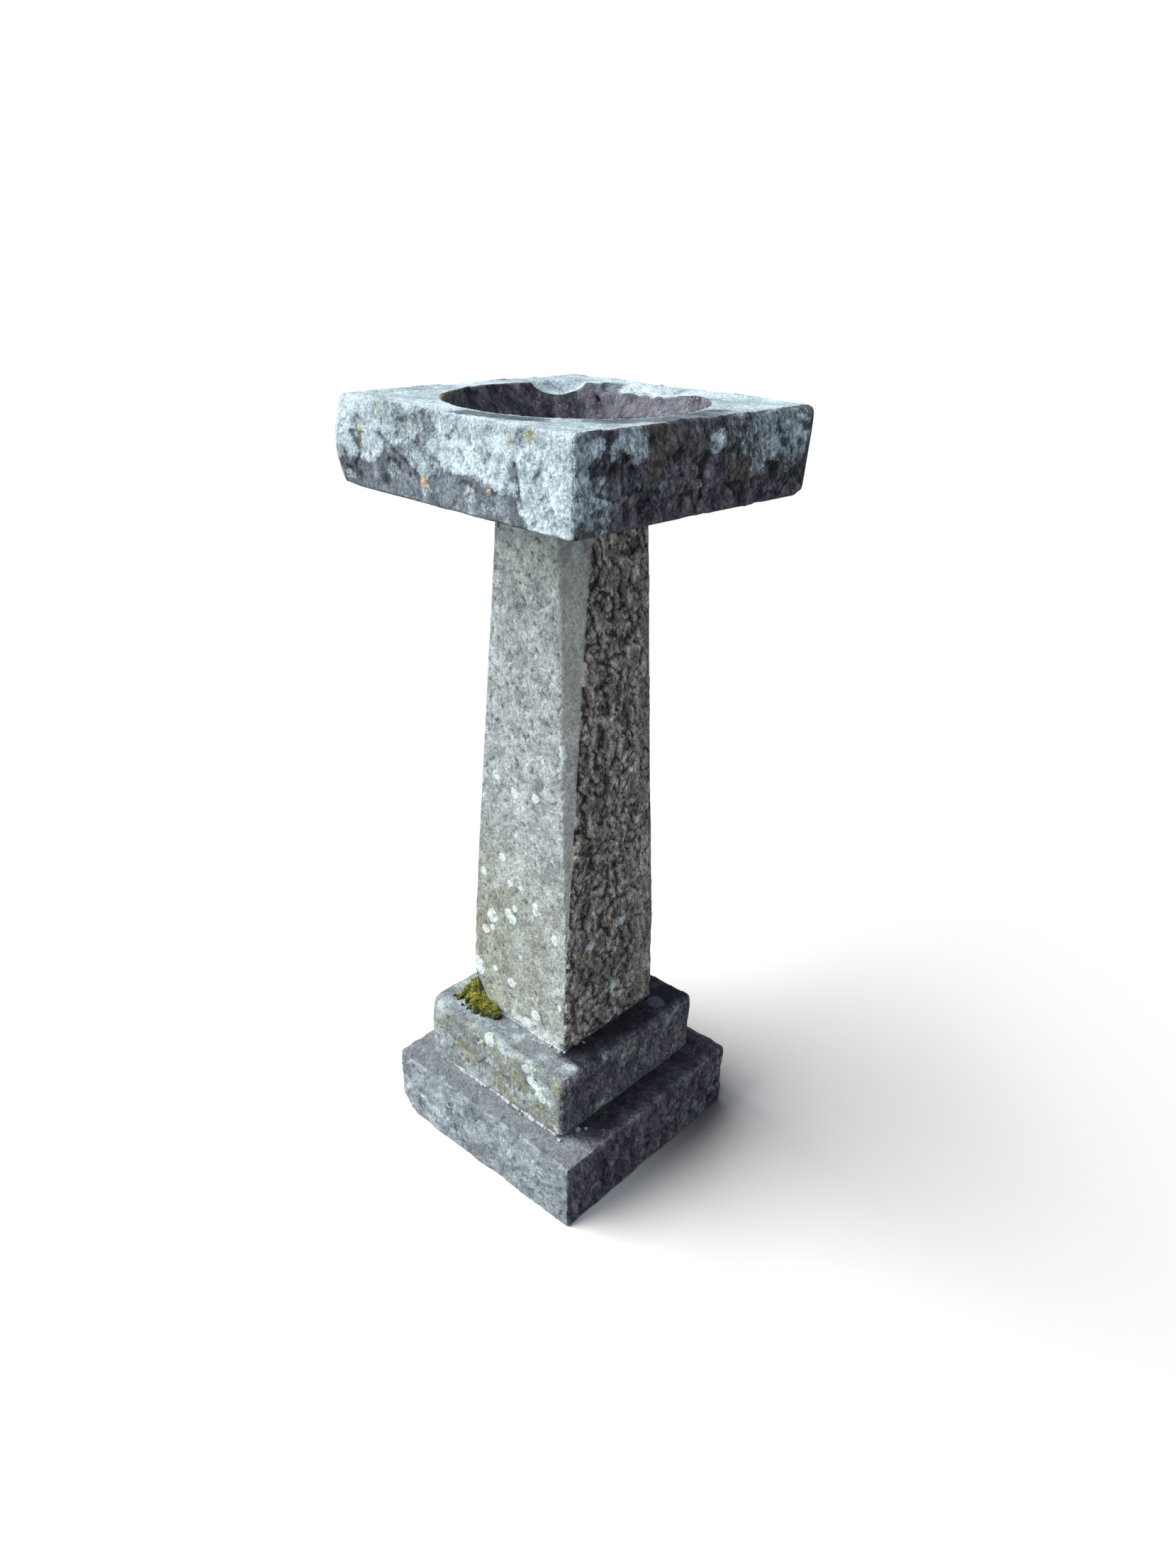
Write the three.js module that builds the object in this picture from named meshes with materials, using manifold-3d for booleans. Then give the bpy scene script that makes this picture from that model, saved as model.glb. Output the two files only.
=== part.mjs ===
// A baptismal font: a square hewn basin on a tapered shaft and two stepped plinth stones.
// The stones are bedded in lime mortar on pairs of iron dowels. A lead pipe drains the bowl
// down the middle of the column, and a bronze plug with a lifting ring closes it.
//
// Millimetres, +Z up. The origin is on the ground under the middle of the basin, on the axis
// of the drain. The stones' faces run along X and Y, each turned a little by its own twist.

import * as THREE from "three";
import { mergeVertices } from "three/addons/utils/BufferGeometryUtils.js";
import Module from "manifold-3d";

const wasm = await Module();
wasm.setup();

// ---------------------------------------------------------------- driving dimensions

const GAP = 0.3; // clearance between neighbouring pieces
const BED = 4; // thickness of a mortar joint, clearances included
const degrees = THREE.MathUtils.degToRad;

// Each stone: half its width along X and Y, its height, how far its middle stands off the
// drain axis, its twist about that axis, its corner radii and how worn its arrises are.
// Corners are listed (-X -Y), (+X -Y), (+X +Y), (-X +Y).
const LOWER_PLINTH = {
  half: [187, 187],
  height: 109,
  offset: [1, 1],
  twist: 0,
  corners: [16, 7, 18, 12],
  arris: 5,
};
const UPPER_PLINTH = {
  half: [146, 149],
  height: 97,
  offset: [-5, 0],
  twist: degrees(-0.6),
  corners: [38, 10, 16, 14],
  arris: 7,
};
const SHAFT = {
  halfFoot: 97.5,
  halfTop: 80,
  height: 777,
  offset: [-2, 1],
  twist: degrees(-0.5),
  chamferLeg: 26.7, // at the top, measured along each face
  chamferStop: 111, // height above the foot where the chamfers run out
  chipSize: 30, // spalled corner at the foot, (-X -Y)
};
const BASIN = {
  half: [203, 203],
  height: 107,
  offset: [0, 0],
  twist: degrees(-2.2),
  corners: [9, 9, 9, 9],
  arris: 3,
};

// Levels of the undersides, from the ground up.
const UPPER_PLINTH_Z = LOWER_PLINTH.height + BED;
const SHAFT_Z = UPPER_PLINTH_Z + UPPER_PLINTH.height + BED;
const BASIN_Z = SHAFT_Z + SHAFT.height + BED;

// The bowl, sunk in the basin's top.
const BOWL = {
  radius: 167,
  centre: [-1, 3],
  depth: 62, // at the foot of the wall
  wallFoot: 150, // radius where the steep wall meets the curve
  wallFootDepth: 38,
  curveRadius: 144, // how far out the curve's control point stands
  curveLift: 2, // and how far above the foot of the wall's depth
  floorRadius: 106, // radius of the nearly flat floor
  fall: 4, // the floor falls this much more towards the drain
};
const FLOOR_Z = BASIN_Z + BASIN.height - BOWL.depth - BOWL.fall;

// Wear on the rim: an ellipsoid is lost from it at a polar angle about the bowl's centre.
const POURING_NOTCH = { angle: degrees(143), out: 172, radial: 30, along: 33, deep: 13 };
const WORN_RIM = { angle: degrees(98), out: 162, radial: 30, along: 62, deep: 9 };

// Mortar beds: how far each stands back from the stone above, and its corner radii.
const PLINTH_BED = { inset: 5, corners: UPPER_PLINTH.corners };
const SHAFT_BED = { inset: 3, corners: [20, 4, 4, 4] };
const BASIN_BED = { inset: 3, corners: [24, 24, 24, 24] };

// Dowels: pairs on the X axis, with the reach of each into the stone below and above.
const DOWEL_RADIUS = 6;
const POCKET_RADIUS = 9;
const PLINTH_DOWELS = { spread: 85, below: 45, above: 45 };
const SHAFT_DOWELS = { spread: 55, below: 45, above: 60 };
const BASIN_DOWELS = { spread: 50, below: 60, above: 26 };

// The drain.
const DRAIN_BORE = 20; // radius through the stones below the basin
const PIPE = { inner: 13, outer: 17, foot: 15 };
const SEAT = { flange: 30, flangeThickness: 4, body: 19, bodyDepth: 20, tail: 12.7, tailDepth: 50 };
const SEAT_BORE = { top: 16.3, throat: 13.4, taperDepth: 14, outlet: 10.5 };
const CROWN = { height: 1.4, radius: 4, lip: 0.6 }; // the plug's domed top
const EYE = { major: 5, wire: 1.8, height: 9, stem: 2.4 };
const RING = { major: 13, wire: 1.6, dip: degrees(14) }; // lying over, its tip on the flange

// Moss grown in the angle between the shaft's foot and the upper plinth.
const MOSS = {
  height: 13,
  edge: 4,
  creep: [[-124, -73], [-136, -89], [-124, -112], [-98, -128], [-68, -131], [-40, -127], [-30, -112]],
};

const ROUND = 32; // segments round a bore or a turned piece
const BOWL_SEGMENTS = 72;
const WIRE_SEGMENTS = 10;
const CLEAR = 10; // how far a cutter runs past the face it cuts

// ---------------------------------------------------------------- materials

function stuff(color, roughness, metalness = 0) {
  return new THREE.MeshStandardMaterial({ color, roughness, metalness });
}

const lichenedStone = () => stuff(0x8f9da0, 0.95);
const hewnStone = () => stuff(0x84837d, 0.95);
const plinthStone = () => stuff(0x777a80, 0.95);
const limeMortar = () => stuff(0xcfc8bd, 0.98);
const iron = () => stuff(0x4a3a31, 0.8, 0.6);
const lead = () => stuff(0x6d7176, 0.55, 0.8);
const bronze = () => stuff(0x7a6a3c, 0.5, 0.85);
const mossGreen = () => stuff(0x7c7a22, 1);

// ---------------------------------------------------------------- geometry helpers

// A closed three.js geometry as a solid that can be joined and cut.
function solid(geometry) {
  const bare = geometry.clone();
  bare.deleteAttribute("normal");
  bare.deleteAttribute("uv");
  const merged = mergeVertices(bare, 1e-4);
  const mesh = new wasm.Mesh({
    numProp: 3,
    vertProperties: merged.attributes.position.array,
    triVerts: new Uint32Array(merged.index.array),
  });
  return new wasm.Manifold(mesh);
}

// A solid as a geometry for a mesh.
function skin(body) {
  const made = body.getMesh();
  const geometry = new THREE.BufferGeometry();
  geometry.setAttribute("position", new THREE.BufferAttribute(made.vertProperties, 3));
  geometry.setIndex(new THREE.BufferAttribute(made.triVerts, 1));
  geometry.computeVertexNormals();
  return geometry;
}

function named(name, geometry, material) {
  const mesh = new THREE.Mesh(geometry, material);
  mesh.name = name;
  return mesh;
}

// A piece turned about the Z axis from [radius, z] points, listed up the outside.
function turned(points, segments = ROUND) {
  const profile = points.map(([radius, z]) => new THREE.Vector2(radius, z));
  return new THREE.LatheGeometry(profile, segments).rotateX(Math.PI / 2);
}

// An upright cylinder from one level to another.
function rod(radius, low, high, x = 0, y = 0) {
  const geometry = new THREE.CylinderGeometry(radius, radius, high - low, ROUND);
  return geometry.rotateX(Math.PI / 2).translate(x, y, (low + high) / 2);
}

// An upright tube, open at both ends.
function tube(inner, outer, low, high) {
  return turned([
    [inner, low],
    [outer, low],
    [outer, high],
    [inner, high],
    [inner, low],
  ]);
}

// A rectangle about a middle point, with an arc of its own radius at each corner.
function roundedOutline([halfX, halfY], corners, [x, y] = [0, 0]) {
  const shape = new THREE.Shape();
  const signs = [[-1, -1], [1, -1], [1, 1], [-1, 1]];
  signs.forEach(([signX, signY], i) => {
    const start = Math.PI + (i * Math.PI) / 2;
    const radius = corners[i];
    const centreX = x + signX * (halfX - radius);
    const centreY = y + signY * (halfY - radius);
    shape.absarc(centreX, centreY, radius, start, start + Math.PI / 2);
  });
  shape.closePath();
  return shape;
}

// A slab standing on z = 0, with its top and bottom arrises worn round.
function slab(outline, height, arris) {
  const geometry = new THREE.ExtrudeGeometry(outline, {
    depth: height - 2 * arris,
    bevelThickness: arris,
    bevelSize: arris,
    bevelOffset: -arris,
    bevelSegments: 2,
    curveSegments: 6,
  });
  return geometry.translate(0, 0, arris);
}

function hewnBlock({ half, corners, offset, height, arris }) {
  return solid(slab(roundedOutline(half, corners, offset), height, arris));
}

// Where a pair of dowels stands in the frame of a stone with the given twist. The pair is
// set out square to the ground, so a twisted stone meets it turned the other way.
function dowelPlaces({ spread }, twist) {
  return [-spread, spread].map((x) => [x * Math.cos(twist), -x * Math.sin(twist)]);
}

// Blind pockets for a pair of dowels, from one level to another of a stone.
function drillPockets(stone, dowels, twist, low, high) {
  for (const [x, y] of dowelPlaces(dowels, twist)) {
    stone = stone.subtract(solid(rod(POCKET_RADIUS, low, high, x, y)));
  }
  return stone;
}

// A piece in its own twisted frame at its own level.
function standing(mesh, level, twist) {
  const frame = new THREE.Group();
  frame.position.z = level;
  frame.rotation.z = twist;
  frame.add(mesh);
  return frame;
}

// ---------------------------------------------------------------- stones

function lowerPlinth() {
  const { height, twist } = LOWER_PLINTH;
  let stone = hewnBlock(LOWER_PLINTH);
  stone = stone.subtract(solid(rod(DRAIN_BORE, -1, height + 1)));
  stone = drillPockets(stone, PLINTH_DOWELS, twist, height - PLINTH_DOWELS.below, height + 1);
  return standing(named("lower_plinth", skin(stone), plinthStone()), 0, twist);
}

function upperPlinth() {
  const { height, twist } = UPPER_PLINTH;
  let stone = hewnBlock(UPPER_PLINTH);
  stone = stone.subtract(solid(rod(DRAIN_BORE, -1, height + 1)));
  stone = drillPockets(stone, PLINTH_DOWELS, twist, -1, PLINTH_DOWELS.above);
  stone = drillPockets(stone, SHAFT_DOWELS, twist, height - SHAFT_DOWELS.below, height + 1);
  return standing(named("upper_plinth", skin(stone), plinthStone()), UPPER_PLINTH_Z, twist);
}

// A square column that narrows evenly from foot to top.
function taperedColumn({ halfFoot, halfTop, height, offset: [x, y] }) {
  const geometry = new THREE.BoxGeometry(2, 2, height).translate(0, 0, height / 2);
  const { position } = geometry.attributes;
  for (let i = 0; i < position.count; i += 1) {
    const z = position.getZ(i);
    const half = THREE.MathUtils.lerp(halfFoot, halfTop, z / height);
    position.setXYZ(i, position.getX(i) * half + x, position.getY(i) * half + y, z);
  }
  return solid(geometry);
}

// What one corner chamfer takes off the column: a block whose inner face leans from the
// arris, where the chamfer stops, to the full chamfer at the top.
function chamferCut({ halfFoot, halfTop, height, chamferLeg, chamferStop, offset: [x, y] }, turn) {
  const halfAtStop = THREE.MathUtils.lerp(halfFoot, halfTop, chamferStop / height);
  const reachAtStop = halfAtStop * Math.SQRT2;
  const reachAtTop = (2 * halfTop - chamferLeg) / Math.SQRT2;
  const run = height - chamferStop;
  const lean = Math.atan2(reachAtStop - reachAtTop, run);
  const size = height * 2;
  const block = new THREE.BoxGeometry(size, size, size);
  block.translate(size / 2, 0, 0);
  block.rotateY(-lean);
  block.translate(reachAtStop, 0, chamferStop);
  block.rotateZ(turn);
  return solid(block.translate(x, y, 0));
}

// What frost has taken off the shaft's foot at one corner: a block with a sloping face.
function footChip({ halfFoot, chipSize, offset: [x, y] }) {
  const size = chipSize * 4;
  const block = new THREE.BoxGeometry(size, size, size);
  block.translate(size / 2, 0, 0);
  block.rotateY(Math.PI / 4);
  block.translate(halfFoot * Math.SQRT2 - chipSize / 2, 0, 0);
  block.rotateZ(degrees(225));
  return solid(block.translate(x, y, 0));
}

function shaft() {
  const { height, twist } = SHAFT;
  let stone = taperedColumn(SHAFT);
  for (let corner = 0; corner < 4; corner += 1) {
    stone = stone.subtract(chamferCut(SHAFT, degrees(45 + 90 * corner)));
  }
  stone = stone.subtract(footChip(SHAFT));
  stone = stone.subtract(solid(rod(DRAIN_BORE, -1, height + 1)));
  stone = drillPockets(stone, SHAFT_DOWELS, twist, -1, SHAFT_DOWELS.above);
  stone = drillPockets(stone, BASIN_DOWELS, twist, height - BASIN_DOWELS.below, height + 1);
  return standing(named("shaft", skin(stone), hewnStone()), SHAFT_Z, twist);
}

// The hollow of the bowl, from the drain up over the rim: a dished floor, a curve and a
// steep wall.
function bowlHollow(top) {
  const { radius, centre, fall } = BOWL;
  const foot = top - BOWL.depth;
  const curve = new THREE.QuadraticBezierCurve(
    new THREE.Vector2(BOWL.floorRadius, foot),
    new THREE.Vector2(BOWL.curveRadius, foot + BOWL.curveLift),
    new THREE.Vector2(BOWL.wallFoot, top - BOWL.wallFootDepth),
  );
  const rise = curve.getPoints(6).map((point) => [point.x, point.y]);
  const drain = SEAT.flange + 4; // the floor is level this far out, round the flange
  const profile = [
    [0, foot - fall],
    [drain, foot - fall],
    ...rise,
    [radius, top],
    [radius, top + CLEAR],
    [0, top + CLEAR],
  ];
  return solid(turned(profile, BOWL_SEGMENTS).translate(...centre, 0));
}

// The ellipsoid that wear has taken off the rim.
function rimLoss({ angle, out, radial, along, deep }, top) {
  const ball = new THREE.SphereGeometry(1, 24, 12).scale(radial, along, deep);
  return solid(ball.translate(out, 0, top).rotateZ(angle).translate(...BOWL.centre, 0));
}

function basin() {
  const { height, twist } = BASIN;
  const floor = FLOOR_Z - BASIN_Z;
  let stone = hewnBlock(BASIN);
  stone = stone.subtract(bowlHollow(height));
  stone = stone.subtract(rimLoss(POURING_NOTCH, height));
  stone = stone.subtract(rimLoss(WORN_RIM, height));
  stone = stone.subtract(solid(rod(SEAT.flange + GAP, floor - SEAT.flangeThickness - GAP, height)));
  stone = stone.subtract(solid(rod(SEAT.body + GAP, -1, floor)));
  stone = drillPockets(stone, BASIN_DOWELS, twist, -1, BASIN_DOWELS.above);
  return standing(named("basin", skin(stone), lichenedStone()), BASIN_Z, twist);
}

// ---------------------------------------------------------------- mortar beds and dowels

// A bed of mortar under a stone, in one piece with the grout that fills the dowel pockets.
// Its frame stands at the top of the stone below.
function mortarBed(name, half, { inset, corners }, { offset, twist }, dowels, level) {
  const outline = roundedOutline(half.map((size) => size - inset), corners, offset);
  const depth = BED - 2 * GAP;
  let bed = solid(new THREE.ExtrudeGeometry(outline, { depth, bevelEnabled: false }));
  bed = bed.translate(0, 0, GAP);
  const low = GAP - dowels.below;
  const high = BED + dowels.above - GAP;
  const places = dowelPlaces(dowels, twist);
  for (const [x, y] of places) {
    bed = bed.add(solid(rod(POCKET_RADIUS - GAP, low, high, x, y)));
  }
  for (const [x, y] of places) {
    bed = bed.subtract(solid(rod(DOWEL_RADIUS + GAP, low - 1, high + 1, x, y)));
  }
  bed = bed.subtract(solid(rod(PIPE.outer + GAP, -1, BED + 1)));
  return standing(named(name, skin(bed), limeMortar()), level, twist);
}

function plinthMortarBed() {
  const { half } = UPPER_PLINTH;
  const level = LOWER_PLINTH.height;
  return mortarBed("plinth_mortar_bed", half, PLINTH_BED, UPPER_PLINTH, PLINTH_DOWELS, level);
}

function shaftMortarBed() {
  const half = [SHAFT.halfFoot, SHAFT.halfFoot];
  const level = SHAFT_Z - BED;
  return mortarBed("shaft_mortar_bed", half, SHAFT_BED, SHAFT, SHAFT_DOWELS, level);
}

function basinMortarBed() {
  const half = [SHAFT.halfTop, SHAFT.halfTop];
  const level = BASIN_Z - BED;
  return mortarBed("basin_mortar_bed", half, BASIN_BED, SHAFT, BASIN_DOWELS, level);
}

// The pair of dowels through a mortar bed. The frame stands at the top of the stone below.
function dowelPair(name, { spread, below, above }, level) {
  const pair = new THREE.Group();
  pair.position.z = level;
  const low = GAP - below;
  const high = BED + above - GAP;
  pair.add(named(`${name}_dowel_a`, rod(DOWEL_RADIUS, low, high, -spread), iron()));
  pair.add(named(`${name}_dowel_b`, rod(DOWEL_RADIUS, low, high, spread), iron()));
  return pair;
}

// ---------------------------------------------------------------- drain

function wastePipe() {
  const top = FLOOR_Z - SEAT.bodyDepth - GAP;
  return named("waste_pipe", tube(PIPE.inner, PIPE.outer, PIPE.foot, top), lead());
}

// The bronze fitting in the bowl's floor: a flange let in flush, a body with a tapered seat
// and a tail that enters the lead pipe.
function wasteSeat() {
  const { flange, flangeThickness, body, bodyDepth, tail, tailDepth } = SEAT;
  const { top, throat, taperDepth, outlet } = SEAT_BORE;
  const profile = [
    [outlet, -tailDepth],
    [tail, -tailDepth],
    [tail, -bodyDepth],
    [body, -bodyDepth],
    [body, -flangeThickness],
    [flange, -flangeThickness],
    [flange, -1],
    [flange - 1, 0],
    [top, 0],
    [throat, -taperDepth],
    [outlet, -taperDepth - 2],
    [outlet, -tailDepth],
  ];
  const mesh = named("waste_seat", turned(profile), bronze());
  mesh.position.z = FLOOR_Z;
  return mesh;
}

// The plug: a tapered stopper with an upright eye on a short stem.
function plug() {
  const { top, throat, taperDepth } = SEAT_BORE;
  const stopper = turned([
    [0, -taperDepth],
    [throat - GAP, -taperDepth],
    [top - GAP, 0],
    [top - GAP - 1, CROWN.lip],
    [CROWN.radius, CROWN.height],
    [0, CROWN.height],
  ]);
  const stem = rod(EYE.stem, 0, EYE.height - EYE.major);
  const eye = new THREE.TorusGeometry(EYE.major, EYE.wire, WIRE_SEGMENTS, 24);
  eye.rotateX(Math.PI / 2).translate(0, 0, EYE.height);
  const body = solid(stopper).add(solid(stem)).add(solid(eye));
  const mesh = named("plug", skin(body), bronze());
  mesh.position.z = FLOOR_Z;
  return mesh;
}

// The lifting ring: it passes through the eye and hinges about the line of its own wire
// there. At rest it lies over to +X.
function plugRing() {
  const hoop = new THREE.TorusGeometry(RING.major, RING.wire, WIRE_SEGMENTS, ROUND);
  const ring = named("plug_ring", hoop, bronze());
  ring.position.x = RING.major;
  const hinge = new THREE.Group();
  hinge.position.z = FLOOR_Z + EYE.height;
  hinge.rotation.y = RING.dip;
  hinge.add(ring);
  return hinge;
}

// ---------------------------------------------------------------- moss

// A cushion that wraps the shaft's (-X -Y) corner. Its inner edge follows the stone, and its
// outer edge creeps out over the plinth.
function mossCushion() {
  const outline = new THREE.Shape();
  outline.moveTo(-105, -72);
  outline.splineThru(MOSS.creep.map(([x, y]) => new THREE.Vector2(x, y)));
  outline.lineTo(-34, -102);
  outline.lineTo(-105, -102);
  outline.closePath();
  const cushion = slab(outline, MOSS.height, MOSS.edge);
  const level = UPPER_PLINTH_Z + UPPER_PLINTH.height + GAP;
  return named("moss_cushion", cushion.translate(0, 0, level), mossGreen());
}

// ---------------------------------------------------------------- the font

const font = new THREE.Group();
font.name = "baptismal_font";
font.add(
  lowerPlinth(),
  plinthMortarBed(),
  dowelPair("plinth", PLINTH_DOWELS, LOWER_PLINTH.height),
  upperPlinth(),
  shaftMortarBed(),
  dowelPair("shaft", SHAFT_DOWELS, SHAFT_Z - BED),
  shaft(),
  basinMortarBed(),
  dowelPair("basin", BASIN_DOWELS, BASIN_Z - BED),
  basin(),
  wastePipe(),
  wasteSeat(),
  plug(),
  plugRing(),
  mossCushion(),
);

export default font;
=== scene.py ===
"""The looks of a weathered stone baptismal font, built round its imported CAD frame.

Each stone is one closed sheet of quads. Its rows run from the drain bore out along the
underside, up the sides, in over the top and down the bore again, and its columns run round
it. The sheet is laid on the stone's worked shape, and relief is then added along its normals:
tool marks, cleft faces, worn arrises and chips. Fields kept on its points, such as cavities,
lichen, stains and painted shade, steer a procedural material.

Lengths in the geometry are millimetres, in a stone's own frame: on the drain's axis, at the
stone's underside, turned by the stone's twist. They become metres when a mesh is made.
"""

import math
from itertools import product

import bmesh
import bpy
import numpy as np
from mathutils import Matrix, Vector


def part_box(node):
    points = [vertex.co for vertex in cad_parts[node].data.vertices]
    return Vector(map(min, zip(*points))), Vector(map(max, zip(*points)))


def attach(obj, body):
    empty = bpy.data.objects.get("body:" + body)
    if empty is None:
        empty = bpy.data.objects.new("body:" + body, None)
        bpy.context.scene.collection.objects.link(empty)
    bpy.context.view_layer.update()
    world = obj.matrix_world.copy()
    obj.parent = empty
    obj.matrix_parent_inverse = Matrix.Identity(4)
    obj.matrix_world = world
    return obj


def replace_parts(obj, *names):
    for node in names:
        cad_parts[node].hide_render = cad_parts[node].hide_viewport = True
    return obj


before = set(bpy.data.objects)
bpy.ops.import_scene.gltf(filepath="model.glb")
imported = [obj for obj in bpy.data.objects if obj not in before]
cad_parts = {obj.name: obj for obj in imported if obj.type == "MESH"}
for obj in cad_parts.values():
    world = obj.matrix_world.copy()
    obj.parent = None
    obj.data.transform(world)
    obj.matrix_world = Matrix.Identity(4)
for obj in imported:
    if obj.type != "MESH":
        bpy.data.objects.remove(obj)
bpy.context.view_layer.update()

MM = 0.001
FONT = "font"  # the CAD body that everything but the plug and its ring rides on
BORE = 20.0  # radius of the drain bore

# Each stone's twist in degrees, and the radius of the corners that reach out to its box.
STONES = {
    "lower_plinth": (0, 12), "upper_plinth": (-0.6, 16), "shaft": (-0.5, 0), "basin": (-2.2, 9),
}
SHAFT_NARROWING = 0.82  # the shaft's width at the top, as a share of its width at the foot
CHAMFER_LEG = 26.7  # at the shaft's top
CHAMFER_STOP = 0.143  # share of the shaft's height where its chamfers run out
LEAST_CHAMFER = 2.5  # where a chamfer is smaller than this, the arris is only worn
RIM_ARRIS = 3.0
# The bowl: its radius at the rim, at the wall's foot and where the floor starts, the pull of
# the curve between those two, its centre, and how far the wall's foot is below the top.
BOWL = {
    "radius": 165.0, "centre": (-1.0, 3.0), "wall": 150.0, "wall_drop": 38.0, "curve": 144.0,
    "floor": 106.0,
}
SLANT = np.array([[1, 0, 0], [0, 1, 0], [0.36, 0.36, 1]])  # leans tool marks over

# What is kept on the points of every stone, and what a field is where nothing sets it. The
# last three are distances in mm outside a coloured patch.
FIELDS = {
    "cavity": 0.0, "dark": 0.0, "crust": 0.0, "algae": 0.0, "bare": 0.0, "brown": 0.0,
    "rust": 12.0, "olive": 12.0, "spots": 12.0,
}

# The sides of a squared stone in the order its columns run: the way along each, and the way out.
SIDES = (((1, 0), (0, -1)), ((0, 1), (1, 0)), ((-1, 0), (0, 1)), ((0, -1), (-1, 0)))
FRONT, RIGHT, BACK, LEFT = range(4)


# ---------------------------------------------------------------- noise


def step(value, low, high):
    """A smooth rise from 0 at low to 1 at high."""
    t = np.clip((value - low) / (high - low), 0, 1)
    return t * t * (3 - 2 * t)


def bell(value, middle, width):
    """1 at the middle, falling smoothly to nothing on both sides."""
    return np.exp(-(((value - middle) / width) ** 2))


def scatter(x, y, z, seed):
    """A repeatable number from -1 to 1 for each whole-numbered point."""
    mask = np.uint64(0xFFFFFFFF)
    h = (x * 73856093 ^ y * 19349663 ^ z * 83492791 ^ seed * 50331653).astype(np.uint64) & mask
    h = (h ^ (h >> np.uint64(15))) * np.uint64(2246822519) & mask
    h = (h ^ (h >> np.uint64(13))) * np.uint64(3266489917) & mask
    h ^= h >> np.uint64(16)
    return h.astype(float) / 0x7FFFFFFF - 1


def noise(points, size, seed, stretch=(1, 1, 1)):
    """Smooth noise from about -1 to 1, with lumps of a size in mm, drawn out by stretch."""
    scaled = points / (size * np.asarray(stretch, float))
    cell = np.floor(scaled).astype(np.int64)
    inside = scaled - cell
    fade = inside**3 * (inside * (6 * inside - 15) + 10)
    total = np.zeros(points.shape[:-1])
    for corner in product((0, 1), repeat=3):
        x, y, z = (cell[..., axis] + corner[axis] for axis in range(3))
        pull = sum(
            scatter(x, y, z, 3 * seed + axis) * (inside[..., axis] - corner[axis])
            for axis in range(3)
        )
        near = np.where(corner, fade, 1 - fade)
        total += pull * near.prod(axis=-1)
    return 1.8 * total


def fractal(points, size, seed, octaves=3, stretch=(1, 1, 1)):
    """Noise with finer noise added to it, each octave half as big and half as strong."""
    return sum(
        noise(points, size / 2**k, seed + 31 * k, stretch) / 2**k for k in range(octaves)
    )


def bent(points, amount, size, seed):
    """Points pushed about by noise, so that what is drawn with them wanders."""
    return points + amount * np.stack([noise(points, size, seed + k) for k in range(3)], axis=-1)


def facets(points, size, seed, stretch=(1, 1, 1), tilt=(0, 0, 0)):
    """The facets of a hewn face. For each point this gives its facet's height, from about -1
    to 1 and tilted at random or more to one side, and how far inside the facet it is, from 0
    at the border."""
    scaled = points / (size * np.asarray(stretch, float))
    cell = np.floor(scaled).astype(np.int64)
    nearest = np.full(points.shape[:-1], 9.0)
    second = nearest.copy()
    height = np.zeros_like(nearest)
    for shift in product((-1, 0, 1), repeat=3):
        x, y, z = (cell[..., axis] + shift[axis] for axis in range(3))
        chance = [scatter(x, y, z, 4 * seed + k) for k in range(4)]
        away = [
            scaled[..., k] - whole - 0.5 - 0.45 * chance[k] for k, whole in enumerate((x, y, z))
        ]
        distance = np.sqrt(sum(way**2 for way in away))
        slopes = (chance[1] + tilt[0], chance[2] + tilt[1], chance[0] + tilt[2])
        tilted = 0.6 * chance[3] + sum(slopes[k] * away[k] for k in range(3))
        closer = distance < nearest
        second = np.where(closer, nearest, np.minimum(second, distance))
        height = np.where(closer, tilted, height)
        nearest = np.where(closer, distance, nearest)
    return height, second - nearest


def blots(across, up, ragged, shapes):
    """Soft ragged patches, each given as (across, up, half width, half height, strength)."""
    field = np.zeros_like(across)
    for u, v, wide, tall, strength in shapes:
        reach = np.hypot((across - u) / wide, (up - v) / tall) + ragged
        field += strength * (1 - step(reach, 0.6, 1.3))
    return field


# ---------------------------------------------------------------- making objects


def added(name, data):
    """A new object in the scene."""
    made = bpy.data.objects.new(name, data)
    bpy.context.scene.collection.objects.link(made)
    return made


def grid_faces(rows, columns):
    """The quads of a grid of points that closes on itself both ways."""
    index = np.arange(rows * columns).reshape(rows, columns)
    above = np.roll(index, -1, 0)
    quads = np.stack([index, np.roll(index, -1, 1), np.roll(above, -1, 1), above], axis=-1)
    return quads.reshape(-1, 4)


def smooth_object(name, points, faces, material, body=FONT):
    """A smooth object that rides on a CAD body, from points in metres."""
    mesh = bpy.data.meshes.new(name)
    mesh.from_pydata(points, [], faces)
    mesh.shade_smooth()
    mesh.materials.append(material)
    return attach(added(name, mesh), body)


# ---------------------------------------------------------------- stones as sheets


class Stone:
    """A stone's place and size, worked out from its CAD node's box."""

    def __init__(self, node):
        twist, corner = STONES[node]
        low, high = (np.array(point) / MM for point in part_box(node))
        self.node = node
        self.twist = math.radians(twist)
        self.level = low[2]
        self.height = high[2] - low[2]
        self.middle = (low + high)[:2] / 2
        # a squared stone's box grows as the stone turns
        c, s = math.cos(self.twist), abs(math.sin(self.twist))
        self.half = np.linalg.solve([[c, s], [s, c]], (high - low)[:2] / 2 - corner) + corner

    def placed(self, points):
        """Points of the stone's own frame as metres in the row's frame."""
        c, s = math.cos(self.twist), math.sin(self.twist)
        x, y, z = np.moveaxis(points, -1, 0)
        return np.stack([c * x - s * y, s * x + c * y, z + self.level], axis=-1) * MM


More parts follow.
